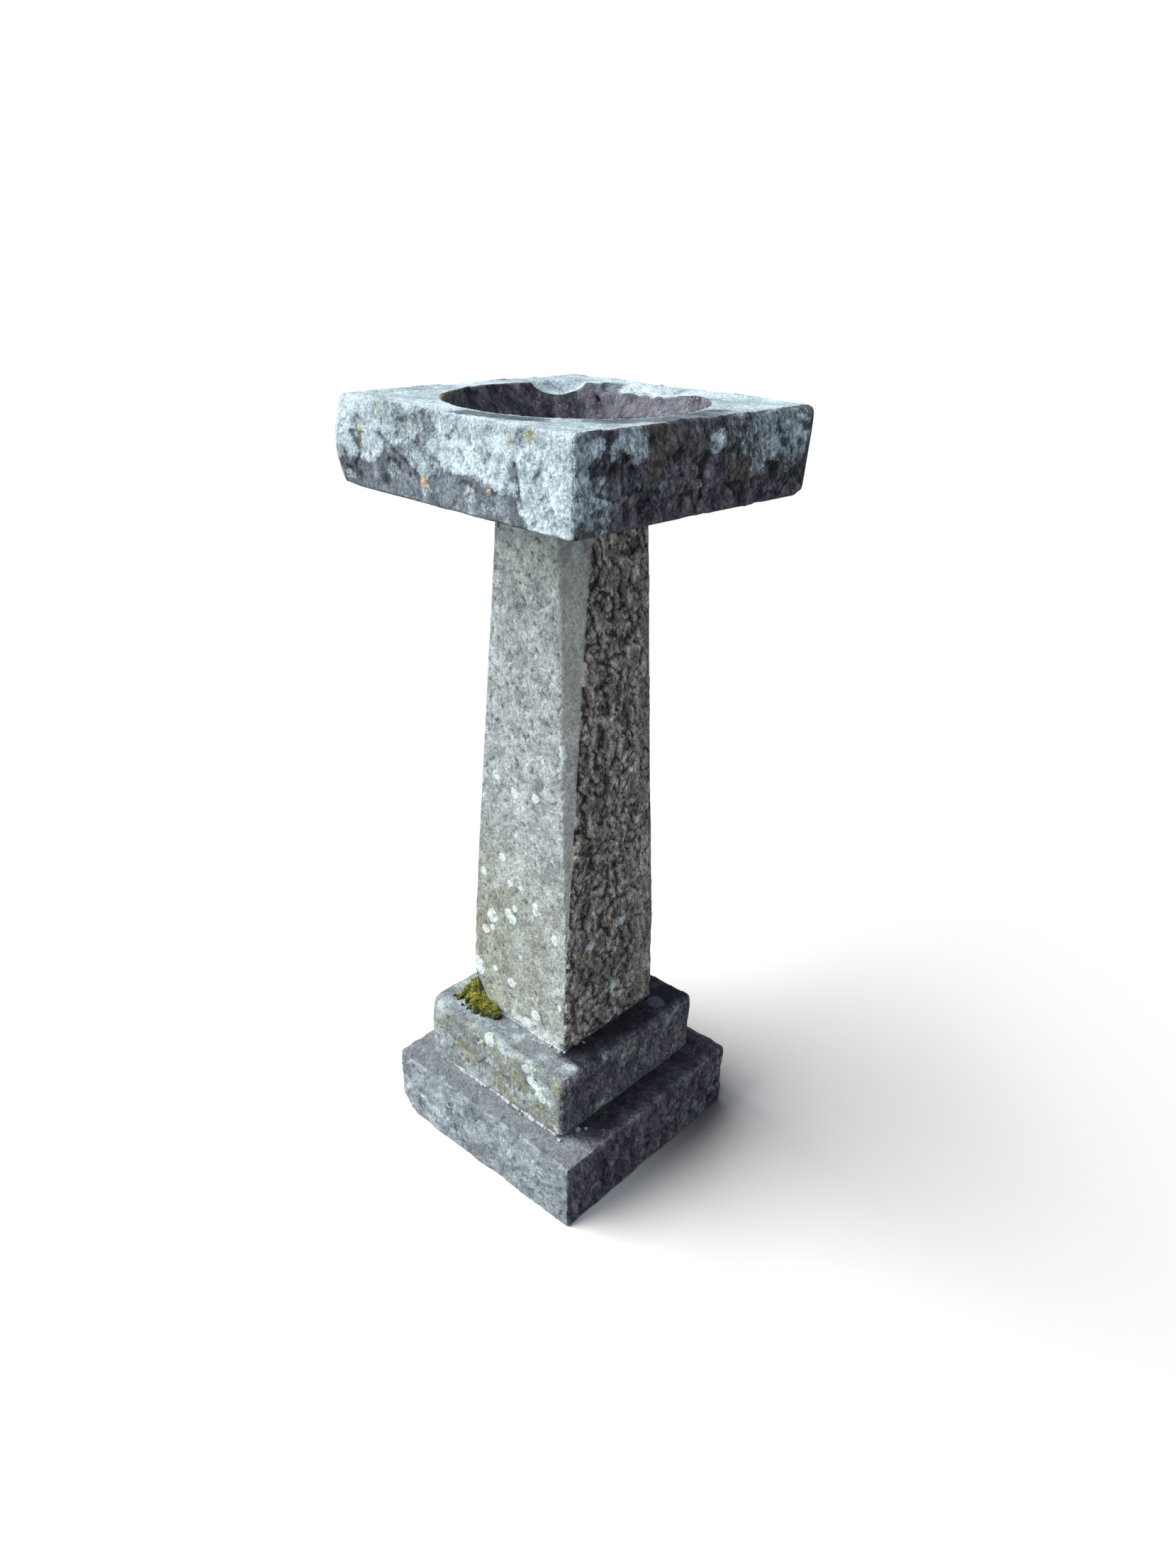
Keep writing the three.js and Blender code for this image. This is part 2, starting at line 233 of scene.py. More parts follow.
def outline(half, corners, middle, straight, bend, chamfered=False):
    """Points round a squared stone, from the middle of its (-X -Y) corner. Each side takes
    `straight` columns and each corner `bend`, as an arc or as a straight chamfer. A corner is
    a radius or leg, or a pair of legs: one on the side before it and one on the side after."""
    points = []
    legs = np.broadcast_to(np.reshape(corners, (4, -1)), (4, 2))
    for side, (along, out) in enumerate(SIDES):
        reach, depth = half[side % 2], half[1 - side % 2]
        before, first = legs[side]
        last, after = legs[(side + 1) % 4]
        share = np.linspace(1, 0, bend // 2, endpoint=False)
        run = np.linspace(first - reach, reach - last, straight + 1)
        if chamfered:
            start = first * (1 - share / 2), -before * share / 2
            end = -last * (1 - share / 2), -after * share / 2
        else:
            turn = share * math.pi / 4
            start = first * (1 - np.sin(turn)), first * (np.cos(turn) - 1)
            end = last * (np.sin(turn) - 1), last * (np.cos(turn) - 1)
        across = np.concatenate([start[0] - reach, run, (end[0] + reach)[:0:-1]])
        outward = np.concatenate([start[1], np.zeros(straight + 1), end[1][:0:-1]]) + depth
        points.append(np.outer(across, along) + np.outer(outward, out))
    return np.concatenate(points) + middle


def at_level(flat, z):
    """A row of the sheet from plan points and a height."""
    return np.column_stack([flat, np.broadcast_to(z, len(flat))])


def circle_towards(flat, radius, centre=(0, 0)):
    """A point on a circle for each plan point, at the same angle about its centre."""
    away = flat - centre
    angle = np.arctan2(away[:, 1], away[:, 0])
    reach = radius(angle) if callable(radius) else radius
    return np.column_stack([reach * np.cos(angle), reach * np.sin(angle)]) + centre


def shares(count, ease=1.0):
    """Even shares from 0 towards 1, without 1. An ease above 1 crowds them near 0."""
    return np.linspace(0, 1, count, endpoint=False) ** ease


class Sheet:
    """A closed grid of points being laid row by row. Each row carries the name of the part
    of the stone that the strip after it belongs to."""

    def __init__(self):
        self.rows, self.parts = [], []

    def lay(self, part, row):
        self.rows.append(row)
        self.parts.append(part)

    def spread(self, part, start, end, count, ease=1.0):
        """Rows from one row to another, without the last."""
        for share in shares(count, ease):
            self.lay(part, start + (end - start) * share)

    def points(self):
        return np.stack(self.rows)


def normals_of(points):
    along = np.roll(points, -1, 1) - np.roll(points, 1, 1)
    up = np.roll(points, -1, 0) - np.roll(points, 1, 0)
    normal = np.cross(along, up)
    return normal / np.maximum(np.linalg.norm(normal, axis=-1, keepdims=True), 1e-9)


def softened(field, passes):
    """A field with each point averaged with its four neighbours, several times over."""
    for _ in range(passes):
        around = sum(np.roll(field, shift, axis) for axis in (0, 1) for shift in (-1, 1))
        field = (field + around) / 5
    return field


def facing(normals):
    """How squarely each point's side faces -Y, +X, +Y and -X, from 0 to 1, seen in plan."""
    x, y, _ = np.moveaxis(normals, -1, 0)
    level = np.maximum(np.hypot(x, y), 0.2)
    return [step(way / level, 0.55, 0.85) for way in (-y, x, y, -x)]


def edge_distance(points, stone):
    """How far each point of a squared stone is from its nearest arris."""
    x, y, z = np.moveaxis(points, -1, 0)
    off = np.stack([
        stone.half[0] - np.abs(x - stone.middle[0]),
        stone.half[1] - np.abs(y - stone.middle[1]),
        np.minimum(z, stone.height - z),
    ])
    return np.sort(np.abs(off), axis=0)[1]


# ---------------------------------------------------------------- laying a sheet out flat


def flat_islands(points, parts, gap=8.0):
    """Where each quad's corners go in the unit square when the sheet is cut into its parts,
    and its sides into four, and each piece is laid flat."""
    rows, columns = points.shape[:2]
    closed = np.concatenate([points, points[:, :1]], axis=1)
    quarter = columns // 4
    pieces = []
    starts = [i for i in range(rows) if parts[i] != parts[i - 1]]
    for start, stop in zip(starts, starts[1:] + [rows]):
        band = closed[np.arange(start, stop + 1) % rows]
        if parts[start] == "side":
            for side, (along, _) in enumerate(SIDES):
                first = side * quarter
                face = band[:, first : first + quarter + 1]
                flat = np.stack([face[..., :2] @ along, face[..., 2]], axis=-1)
                pieces.append((start, first, flat))
            continue
        flat = band[..., :2]
        if parts[start] in ("bowl", "bore"):
            # rolled out from the middle, so that steep walls keep their height
            length = np.linalg.norm(np.diff(band, axis=0), axis=-1).mean(axis=1)
            reach = np.concatenate([np.cumsum(length[::-1])[::-1], [0]]) + BORE
            angle = np.arctan2(band[..., 1], band[..., 0])
            flat = np.stack([np.cos(angle), np.sin(angle)], axis=-1) * reach[:, None, None]
        pieces.append((start, 0, flat))
    sizes = [np.ptp(flat.reshape(-1, 2), axis=0) + gap for _, _, flat in pieces]
    width = 1.12 * math.sqrt(sum(size.prod() for size in sizes))
    width = max(width, max(size[0] for size in sizes))
    uv = np.zeros((rows, columns, 4, 2))
    x = y = shelf = 0.0
    order = sorted(range(len(pieces)), key=lambda i: -sizes[i][1])
    for i in order:
        start, first, flat = pieces[i]
        if x + sizes[i][0] > width:
            x, y, shelf = 0.0, y + shelf, 0.0
        spot = flat - flat.reshape(-1, 2).min(axis=0) + [x + gap / 2, y + gap / 2]
        corners = (spot[:-1, :-1], spot[:-1, 1:], spot[1:, 1:], spot[1:, :-1])
        tall, wide = corners[0].shape[:2]
        uv[start : start + tall, first : first + wide] = np.stack(corners, axis=2)
        x += sizes[i][0]
        shelf = max(shelf, sizes[i][1])
    return uv / max(width, y + shelf)


def sheet_object(stone, name, points, parts, base, fields, material):
    """The finished sheet as an object that stands for the stone's CAD node. It carries the
    fields on its points, and is laid out flat by its unroughened shape."""
    rows, columns = points.shape[:2]
    placed = stone.placed(points).reshape(-1, 3)
    piece = smooth_object(name, placed, grid_faces(rows, columns), material)
    layer = piece.data.uv_layers.new(name="OFBake")
    layer.data.foreach_set("uv", flat_islands(base, parts).astype(np.float32).ravel())
    for key, plain in FIELDS.items():
        field = fields.get(key, np.full((rows, columns), plain))
        attribute = piece.data.attributes.new(key, "FLOAT", "POINT")
        attribute.data.foreach_set("value", field.astype(np.float32).ravel())
    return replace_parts(piece, stone.node)


def lay_sides(sheet, plan, height, arrises, spacing):
    """Rows up a stone's sides, with its lower and upper arrises worn round. plan(inset, z)
    gives the stone's outline at a level."""
    low, high = arrises
    bends = np.linspace(0, math.pi / 2, 6)[1:-1]
    for turn in bends:
        sheet.lay("side", at_level(plan(low * (1 - math.sin(turn)), 0), low * (1 - math.cos(turn))))
    for z in np.linspace(low, height - high, round((height - low - high) / spacing) + 1):
        sheet.lay("side", at_level(plan(0, z), z))
    for turn in bends[::-1]:
        drop = high * (1 - math.cos(turn))
        sheet.lay("side", at_level(plan(high * (1 - math.sin(turn)), height), height - drop))


# ---------------------------------------------------------------- wear, growth and painted shade fields


def spot_field(points, centres, radii):
    """How far each point is outside the nearest round spot, in mm, and negative inside."""
    field = np.full(points.shape[:-1], 12.0)
    for centre, radius in zip(centres, radii):
        field = np.minimum(field, np.linalg.norm(points - centre, axis=-1) - radius)
    return np.maximum(field, -12.0)


def side_spots(stone, side, spots, half_at=None):
    """Spots given as (across from -1 to 1, up from 0 to 1, radius) as points on one side."""
    along, out = (np.array(way, float) for way in SIDES[side])
    centres, radii = [], []
    for across, up, radius in spots:
        half = stone.half * (half_at(up) if half_at else 1)
        flat = along * across * half[side % 2] + out * half[1 - side % 2] + stone.middle
        centres.append((*flat, up * stone.height))
        radii.append(radius)
    return centres, radii


def random_spots(seed, count, smallest, largest):
    """Spots strewn over a side, most of them small."""
    draw = np.random.default_rng(seed)
    spots = []
    for _ in range(count):
        across, up = draw.uniform(-0.95, 0.95), draw.uniform(0.02, 0.95)
        spots.append((across, up, smallest + largest * draw.random() ** 3))
    return spots


def joined(*groups):
    """Several groups of centres and radii as one."""
    return [c for group in groups for c in group[0]], [r for group in groups for r in group[1]]


def cavity_field(relief, depth, edge, ledges=0.28):
    """From -1 in hollows to 1 on crests, judged against the surface round about, for painted shade
    in the hollows and painted highlights on the crests. Ledges that face up or left, towards the
    light, count as crests and get painted highlights, and overhangs count as hollows and get
    painted shade. Arrises get a little painted highlight."""
    hollow = (relief - softened(relief, 14)) / depth
    # ledges facing up or left, towards the light, lean to painted highlights, and overhangs to
    # painted shade
    upward = relief - np.roll(relief, -2, 0)
    leftward = relief - np.roll(relief, 2, 1)
    hollow = hollow + ledges * (upward + leftward) / depth
    near = np.exp(-edge / 5)
    return np.clip(hollow, -1, 1) * (1 - near) + 0.25 * near


def levelled(relief, where, edge):
    """Relief that neither adds to nor takes from a face on the whole, and is calm at arrises."""
    return (relief - (relief * where).sum() / max(where.sum(), 1)) * (1 - 0.6 * np.exp(-edge / 9))


class Faces:
    """A stone's points, and for each of them which way it faces and how near an arris it is.
    x, y and z follow any change made to base."""

    def __init__(self, stone, sheet):
        self.stone = stone
        self.base, self.parts = sheet.points(), np.array(sheet.parts)
        self.x, self.y, self.z = np.moveaxis(self.base, -1, 0)
        self.normals = normals_of(self.base)
        self.front, self.right, self.back, self.left = facing(self.normals)
        self.edge = edge_distance(self.base, stone)

    def part(self, name):
        """1 on one part of the sheet and 0 on the others."""
        return (self.parts == name)[:, None] * np.ones_like(self.x)

    def raised(self, relief):
        return self.base + self.normals * relief[..., None]

    def piece(self, name, points, fields, material):
        """The finished stone, with its slot named after its material."""
        piece = sheet_object(self.stone, name, points, self.parts, self.base, fields, material)


# ---------------------------------------------------------------- the shaft


# Round lichen spots on the shaft, as (across from -1 to 1, up from 0 to 1, radius in mm).
SHAFT_FRONT_SPOTS = (
    (-0.15, 0.484, 7), (0.31, 0.493, 6.5), (-0.54, 0.502, 4), (0.85, 0.592, 6), (0.84, 0.605, 4),
    (-0.40, 0.345, 6.5), (-0.81, 0.296, 6), (-0.21, 0.299, 5), (-0.61, 0.208, 10.5),
    (-0.25, 0.232, 7.5), (-0.15, 0.224, 7.5), (0.33, 0.275, 6), (0.34, 0.265, 5.5),
    (-0.75, 0.171, 6.5), (-0.60, 0.183, 4.5), (0.76, 0.228, 6.5), (-0.91, 0.086, 10),
    (-0.87, 0.07, 9), (-0.51, 0.094, 4.5), (-0.14, 0.082, 7), (0.40, 0.042, 8), (0.02, 0.3, 3),
    (0.20, 0.012, 9), (0.05, 0.15, 3.5), (0.9, 0.09, 4), (-0.93, 0.5, 4), (-0.1, 0.25, 5),
)
SHAFT_RIGHT_SPOTS = (
    (0.39, 0.522, 4), (0.57, 0.417, 5.5), (0.21, 0.505, 3.5), (0.10, 0.364, 4.5),
    (-0.08, 0.52, 3.5), (0.05, 0.28, 5), (-0.50, 0.207, 8.5), (0.26, 0.230, 7), (0.25, 0.218, 7),
    (0.04, 0.08, 10.5),
)
# On the chamfer between those two faces they are given as points and radii.
CHAMFER_SPOTS = (
    ((93, -79, 479), (92, -80, 441), (88, -84, 352), (79, -93, 692), (84, -88, 560)),
    (3.5, 3.0, 4.5, 2.5, 2.0),
)


def shaft_half(up):
    """The shaft's half width, as a share of that at its foot."""
    return 1 + (SHAFT_NARROWING - 1) * up


def shaft_sheet(stone, spacing=2.6, straight=62, bend=10):
    """The shaft. Its rows keep one number of columns, so a chamfer's columns draw together to
    a worn arris below the chamfer's stop."""
    def plan(inset, z):
        up = z / stone.height
        half = stone.half * shaft_half(up) - inset
        leg = CHAMFER_LEG * (up - CHAMFER_STOP) / (1 - CHAMFER_STOP)
        corners = np.full((4, 2), max(leg, LEAST_CHAMFER))
        if leg > LEAST_CHAMFER:
            corners[RIGHT, 1] *= 1.3
        return outline(half, corners, stone.middle, straight, bend, leg > LEAST_CHAMFER)

    arris, sheet = 2.0, Sheet()
    foot, head = plan(arris, 0), plan(arris, stone.height)
    sheet.spread("under", at_level(circle_towards(foot, BORE), 0), at_level(foot, 0), 8)
    sheet.lay("side", at_level(foot, 0))
    lay_sides(sheet, plan, stone.height, (arris, arris), spacing)
    rim = at_level(circle_towards(head, BORE), stone.height)
    sheet.spread("top", at_level(head, stone.height), rim, 8)
    sheet.spread("bore", rim, at_level(circle_towards(foot, BORE), 0), 10)
    return sheet


def bark(base, seed):
    """A roughly hewn face: upright plates that lap like shingles, proud at their upper front
    edges, with sunk seams between them that the shaft's fields darken with painted shade. Gives
    the relief and where the seams are."""
    wandering = bent(bent(base, 6, 26, seed), 2.5, 7, seed + 1)
    plates, border = facets(wandering @ SLANT, 21, seed + 3, (1, 1, 1.6), (0.5, -0.9, 0.8))
    slanting = bent(base, 3, 9, seed + 4) @ SLANT
    chips, _ = facets(slanting, 10, seed + 5, (1, 1, 1.6), (0.4, -0.6, 0.5))
    seam = step(noise(base, 24, seed + 6, (1, 1, 1.8)), -0.4, 0.3) * (1 - step(border, 0.0, 0.16))
    relief = 3.6 * plates + 0.9 * chips - 2.6 * seam
    return relief + 0.6 * fractal(base, 8, seed + 7, 2, (1, 1, 1.6)), seam


class ShaftFaces(Faces):
    """The shaft's points: on the chamfer, on the two rough faces or on the two fine ones."""

    def __init__(self, stone):
        super().__init__(stone, shaft_sheet(stone))
        self.up = self.z / stone.height
        self.aslant = np.minimum(np.abs(self.normals[..., 0]), np.abs(self.normals[..., 1]))
        self.chamfer = step(self.aslant, 0.35, 0.55) * step(self.up, 0.12, 0.2)
        self.rough = np.clip(self.right + 0.9 * self.back, 0, 1) * (1 - self.chamfer)
        self.fine = np.clip(self.front + self.left, 0, 1) * (1 - self.chamfer)
        self.amid = np.full_like(self.z, 50.0)  # as if every point were far from an arris
        self.hewn, self.seam = bark(self.base, 3)

    def tooled(self):
        """The relief the mason left. The rough faces are less deeply hewn near the foot."""
        base, up = self.base, self.up
        width = 2 * self.stone.half[0] * shaft_half(up)
        lee_arris = step((self.x + self.y) / width, 0.66, 0.8)
        hewn = self.hewn * (0.6 + 0.4 * step(up, 0.1, 0.4)) * (1 - 0.75 * lee_arris)
        pecks = step(noise(base @ SLANT, 6.0, 13, (1, 1, 2.2)), 0.25, 0.75)
        flaked, _ = facets(bent(base, 5, 16, 20) @ SLANT, 14.0, 21, (1, 1, 1.5))
        flaking = 0.6 + 0.6 * step(up, 0.35, 0.6)
        dressed = 0.5 * fractal(base, 20, 11, 2, (1, 1, 1.6)) + flaking * flaked - 0.9 * pecks
        relief = 0.9 * noise(base, 130, 1) + levelled(self.rough * hewn, self.rough, self.amid)
        return relief + self.fine * dressed + 0.12 * self.chamfer * noise(base, 6, 14)

    def damaged(self, relief):
        """The relief with nicked arrises, a gash and a split on the right face, and one corner
        of the foot gone."""
        base, x, y, z, height = self.base, self.x, self.y, self.z, self.stone.height
        nicked = step(self.aslant, 0.1, 0.3) * (1 - self.chamfer)
        relief = relief - nicked * 1.2 * step(fractal(base, 15, 15, 2), 0.0, 0.5)
        gash = np.hypot((y + 34) / 15, (z - 62 + 0.25 * (y + 34)) / 3.5) + 0.2 * noise(base, 8, 16)
        relief = relief - self.right * 4.5 * (1 - step(gash, 0.5, 1.2))
        split = np.abs(y - 33 - 0.35 * (height - z)) + 2 * noise(base, 14, 17)
        relief = relief - self.right * 4.0 * (1 - step(split, 1.0, 4.0)) * step(z, 700, 720)
        across = 2 * self.stone.half[0]
        corner = step((-x - y) / across + 0.08 * noise(base, 30, 18), 0.72, 1.02)
        relief = relief - 13 * corner * np.clip(1 - z / 52, 0, 1)
        scuffed = step((x - y) / across, 0.9, 1.0) * (1 - step(z, 0, 14))
        relief = relief - 7 * scuffed
        return relief * self.part("side") * step(height - z, 0, 3)

    def spots(self):
        def strewn(side, *spots):
            return side_spots(self.stone, side, random_spots(*spots), shaft_half)

        return spot_field(self.base, *joined(
            side_spots(self.stone, FRONT, SHAFT_FRONT_SPOTS, shaft_half),
            strewn(FRONT, 5, 14, 1.2, 2.0),
            side_spots(self.stone, RIGHT, SHAFT_RIGHT_SPOTS, shaft_half),
            strewn(RIGHT, 6, 12, 1.2, 2.2),
            strewn(BACK, 7, 34, 1.6, 9.0),
            strewn(LEFT, 8, 34, 1.6, 9.0),
            CHAMFER_SPOTS,
        ))

    def fields(self, relief):
        x, y, z, up, chamfer, fine = self.x, self.y, self.z, self.up, self.chamfer, self.fine
        from_top = self.stone.height - z
        lower_left = (1 - step(up, 0.12, 0.5)) * step(-x + 0.2 * y, -60, 80)
        drip = np.exp(-(((x + y - 4) / 14) ** 2) - ((from_top - 52) / 18) ** 2) * (x > 0) * chamfer
        mossy = 0.55 * (1 - step(up, 0.2, 0.75)) + 0.3 * lower_left + 0.2 * step(up, 0.85, 1.0)
        # the fine faces are paler with flecks above a third of the way up, and paler again near the
        # top, partly with pale flecks and partly with painted light against the basin's shadow
        flecks_and_painted_light = 0.22 * step(up, 0.35, 0.5) + 0.5 * step(up, 0.8, 0.95)
        limed = 0.15 * (1 - step(up, 0, 0.15)) + 0.5 * (1 - step(z, 4, 34)) * step(x, -60, 10)
        # painted shade in the hollows and in the rough faces' seams, painted highlights on the
        # crests
        cavity = cavity_field(relief, 2.2, self.amid, 0.5) - 0.6 * self.seam * self.rough
        return {
            "cavity": cavity * (1 - 0.3 * fine) * (1 - 0.8 * chamfer),
            "dark": np.clip(self.rough, 0, 1),
            "crust": 0.12 + self.front * limed + fine * flecks_and_painted_light - 0.25 * chamfer + 1.6 * drip,
            "algae": fine * mossy + 0.15 * chamfer,
            "bare": chamfer,
            "spots": self.spots(),
        }


def shaft_piece(material):
    """The tapered column, with chamfers that stop above its foot."""
    face = ShaftFaces(Stone("shaft"))
    relief = face.damaged(face.tooled())
    face.piece("shaft_stone", face.raised(relief), face.fields(relief), material)


# ---------------------------------------------------------------- the basin


def rim_radius(angle):
    """The bowl's rim was cut by eye, and is a little oval."""
    return BOWL["radius"] + 6.0 * np.cos(2 * angle + math.radians(105))


def basin_sheet(stone, spacing=3.0, straight=130, bend=8):
    """The basin. Inside the rim its rows go down the wall, round a curve to the floor, and
    into the recess that the bronze seat's flange lies in."""
    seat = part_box("waste_seat")[1]
    seat_high = seat.z / MM - stone.level
    flange = seat.x / MM + 0.3
    recess = seat_high - 4.3
    neck = 19.3

    def plan(inset, z):
        corners = np.full(4, 7.0 - min(inset, 4.0))
        return outline(stone.half - inset, corners, stone.middle, straight, bend)

    arris, sheet = 3.5, Sheet()
    top = plan(arris, stone.height)
    centre = np.array(BOWL["centre"])

    def hollow(radius, z):
        """A row of the bowl: round at the drain, and as uneven as the rim up at the rim."""
        share = (radius - flange) / (BOWL["radius"] - flange)

        def reach(angle):
            return radius + share * (rim_radius(angle) - BOWL["radius"])

        return at_level(circle_towards(top, reach, centre * share), z)

    foot = plan(arris, 0)
    sheet.spread("under", at_level(circle_towards(foot, neck), 0), at_level(foot, 0), 18)
    sheet.lay("side", at_level(foot, 0))
    lay_sides(sheet, plan, stone.height, (arris, arris), spacing)
    rim = hollow(BOWL["radius"] + RIM_ARRIS, stone.height)
    sheet.spread("top", at_level(top, stone.height), rim, 24)
    for turn in np.linspace(0, math.pi / 2, 4, endpoint=False):
        radius = BOWL["radius"] + RIM_ARRIS * (1 - math.sin(turn))
        sheet.lay("bowl", hollow(radius, stone.height - RIM_ARRIS * (1 - math.cos(turn))))
    wall_top, wall_foot = stone.height - RIM_ARRIS, stone.height - BOWL["wall_drop"]
    floor = seat_high + 4.0
    for share in shares(14):
        radius = BOWL["radius"] + (BOWL["wall"] - BOWL["radius"]) * share
        sheet.lay("bowl", hollow(radius, wall_top + (wall_foot - wall_top) * share))
    for t in shares(16):
        start, bulge, end = (1 - t) ** 2, 2 * t * (1 - t), t * t
        radius = start * BOWL["wall"] + bulge * BOWL["curve"] + end * BOWL["floor"]
        sheet.lay("bowl", hollow(radius, start * wall_foot + bulge * (floor + 2) + end * floor))
    for t in shares(26):
        radius = BOWL["floor"] + (flange - BOWL["floor"]) * t
        sheet.lay("bowl", hollow(radius, floor + (seat_high - floor) * step(t, 0, 1)))
    sheet.lay("bore", hollow(flange, seat_high))
    sheet.lay("bore", hollow(flange, recess))
    sheet.lay("bore", at_level(circle_towards(top, neck), recess))
    return sheet


def basin_front_crust(u, v, base):
    """How thickly pale lichen covers the front face, across u from -1 to 1 and up v."""
    # the cover's lower edge, as (across, up)
    across, up = zip(
        (-1.0, 0.31), (-0.87, 0.32), (-0.68, 0.31), (-0.60, 0.42), (-0.575, 0.62), (-0.45, 0.51),
        (-0.28, 0.36), (-0.20, 0.27), (-0.08, 0.35), (0.10, 0.40), (0.33, 0.35), (0.55, 0.30),
        (0.62, 0.12), (0.66, -0.1),
    )
    lowest = np.interp(u + 0.02 * noise(base, 14, 51), across, up)
    cover = step(v - lowest + 0.05 * fractal(base, 14, 52, 2), -0.04, 0.06)
    thin = step(u, -0.58, -0.52) * (1 - step(u + 0.25 * (1 - v), -0.12, 0.12))
    ragged = 0.3 * fractal(base, 20, 53, 2)
    white = blots(u, v, ragged, [
        (0.12, 0.58, 0.16, 0.2, 0.25), (0.36, 0.6, 0.16, 0.2, 0.3), (0.84, 0.5, 0.2, 0.6, 0.05),
        (-0.78, 0.5, 0.2, 0.3, 0.12), (0.04, 0.9, 0.3, 0.1, -0.15), (0.6, 0.9, 0.1, 0.12, -0.3),
        (0.56, 0.45, 0.045, 0.3, -0.35), (0.44, 0.52, 0.03, 0.1, -0.3),
    ])
    below = blots(u, v, ragged, [
        (-0.5, 0.25, 0.06, 0.12, 0.35), (-0.12, 0.15, 0.12, 0.1, 0.25), (0.2, 0.2, 0.05, 0.2, 0.4),
        (0.42, 0.1, 0.12, 0.16, 0.25), (-0.9, 0.12, 0.1, 0.06, 0.3),
    ])
    return cover * (0.86 - 0.33 * thin + white) + (1 - cover) * (0.16 + below)


def basin_right_growth(w, v, base):
    """How thickly lichen covers the shaded right face, and how brown that face is, across w
    from -1 to 1 and up v."""
    ragged = 0.35 * fractal(base, 22, 55, 3)
    crust = 0.17 + 0.2 * fractal(base, 30, 56, 3) + blots(w, v, ragged, [
        (-0.93, 0.55, 0.2, 0.6, 0.75), (-0.58, 0.82, 0.15, 0.2, 0.65),
        (0.07, 0.74, 0.07, 0.15, 0.8), (0.58, 0.8, 0.45, 0.22, 0.5), (0.49, 0.54, 0.11, 0.2, 0.6),
        (0.8, 0.62, 0.13, 0.2, 0.5), (-0.76, 0.68, 0.16, 0.14, -0.5),
        (-0.05, 0.62, 0.15, 0.4, -0.5), (-0.9, 0.08, 0.1, 0.12, -0.4),
        (0.2, 0.12, 0.9, 0.16, -0.22), (-0.95, 0.97, 0.12, 0.06, -0.4),
    ])
    brown = blots(w, v, ragged, [
        (-0.4, 0.75, 0.22, 0.3, 1.0), (0.27, 0.42, 0.16, 0.2, 0.8), (0.95, 0.5, 0.08, 0.6, 0.6),
        (-0.05, 0.62, 0.15, 0.4, -1.0), (-0.76, 0.68, 0.16, 0.14, -0.8),
        (0.2, 0.1, 0.9, 0.16, -0.5),
    ])
    return crust, brown


def basin_spots(stone, base):
    """The basin's rusty, olive and round pale spots."""
    rust = side_spots(stone, FRONT, [
        (-0.20, 0.235, 5.6), (0.19, 0.28, 3.6), (0.36, 0.30, 3.4), (-0.195, 0.285, 4.0),
        (-0.17, 0.2, 3.0),
    ])
    olive = side_spots(stone, FRONT, [
        (-0.80, 0.65, 7.5), (-0.60, 0.92, 6.5), (0.67, 0.92, 8.5), (0.52, 0.83, 6), (-0.8, 0.57, 5),
    ])
    pale = joined(
        side_spots(stone, FRONT, [(-0.92, 0.78, 4), (-0.72, 0.36, 5), (0.84, 0.3, 3)]),
        side_spots(stone, RIGHT, [(-0.93, 0.61, 6.5), (0.07, 0.8, 4)]),
        side_spots(stone, BACK, random_spots(57, 10, 2, 8)),
        side_spots(stone, LEFT, random_spots(58, 8, 2, 8)),
    )
    kinds = {"rust": rust, "olive": olive, "spots": pale}
    return {kind: spot_field(base, *spots) for kind, spots in kinds.items()}


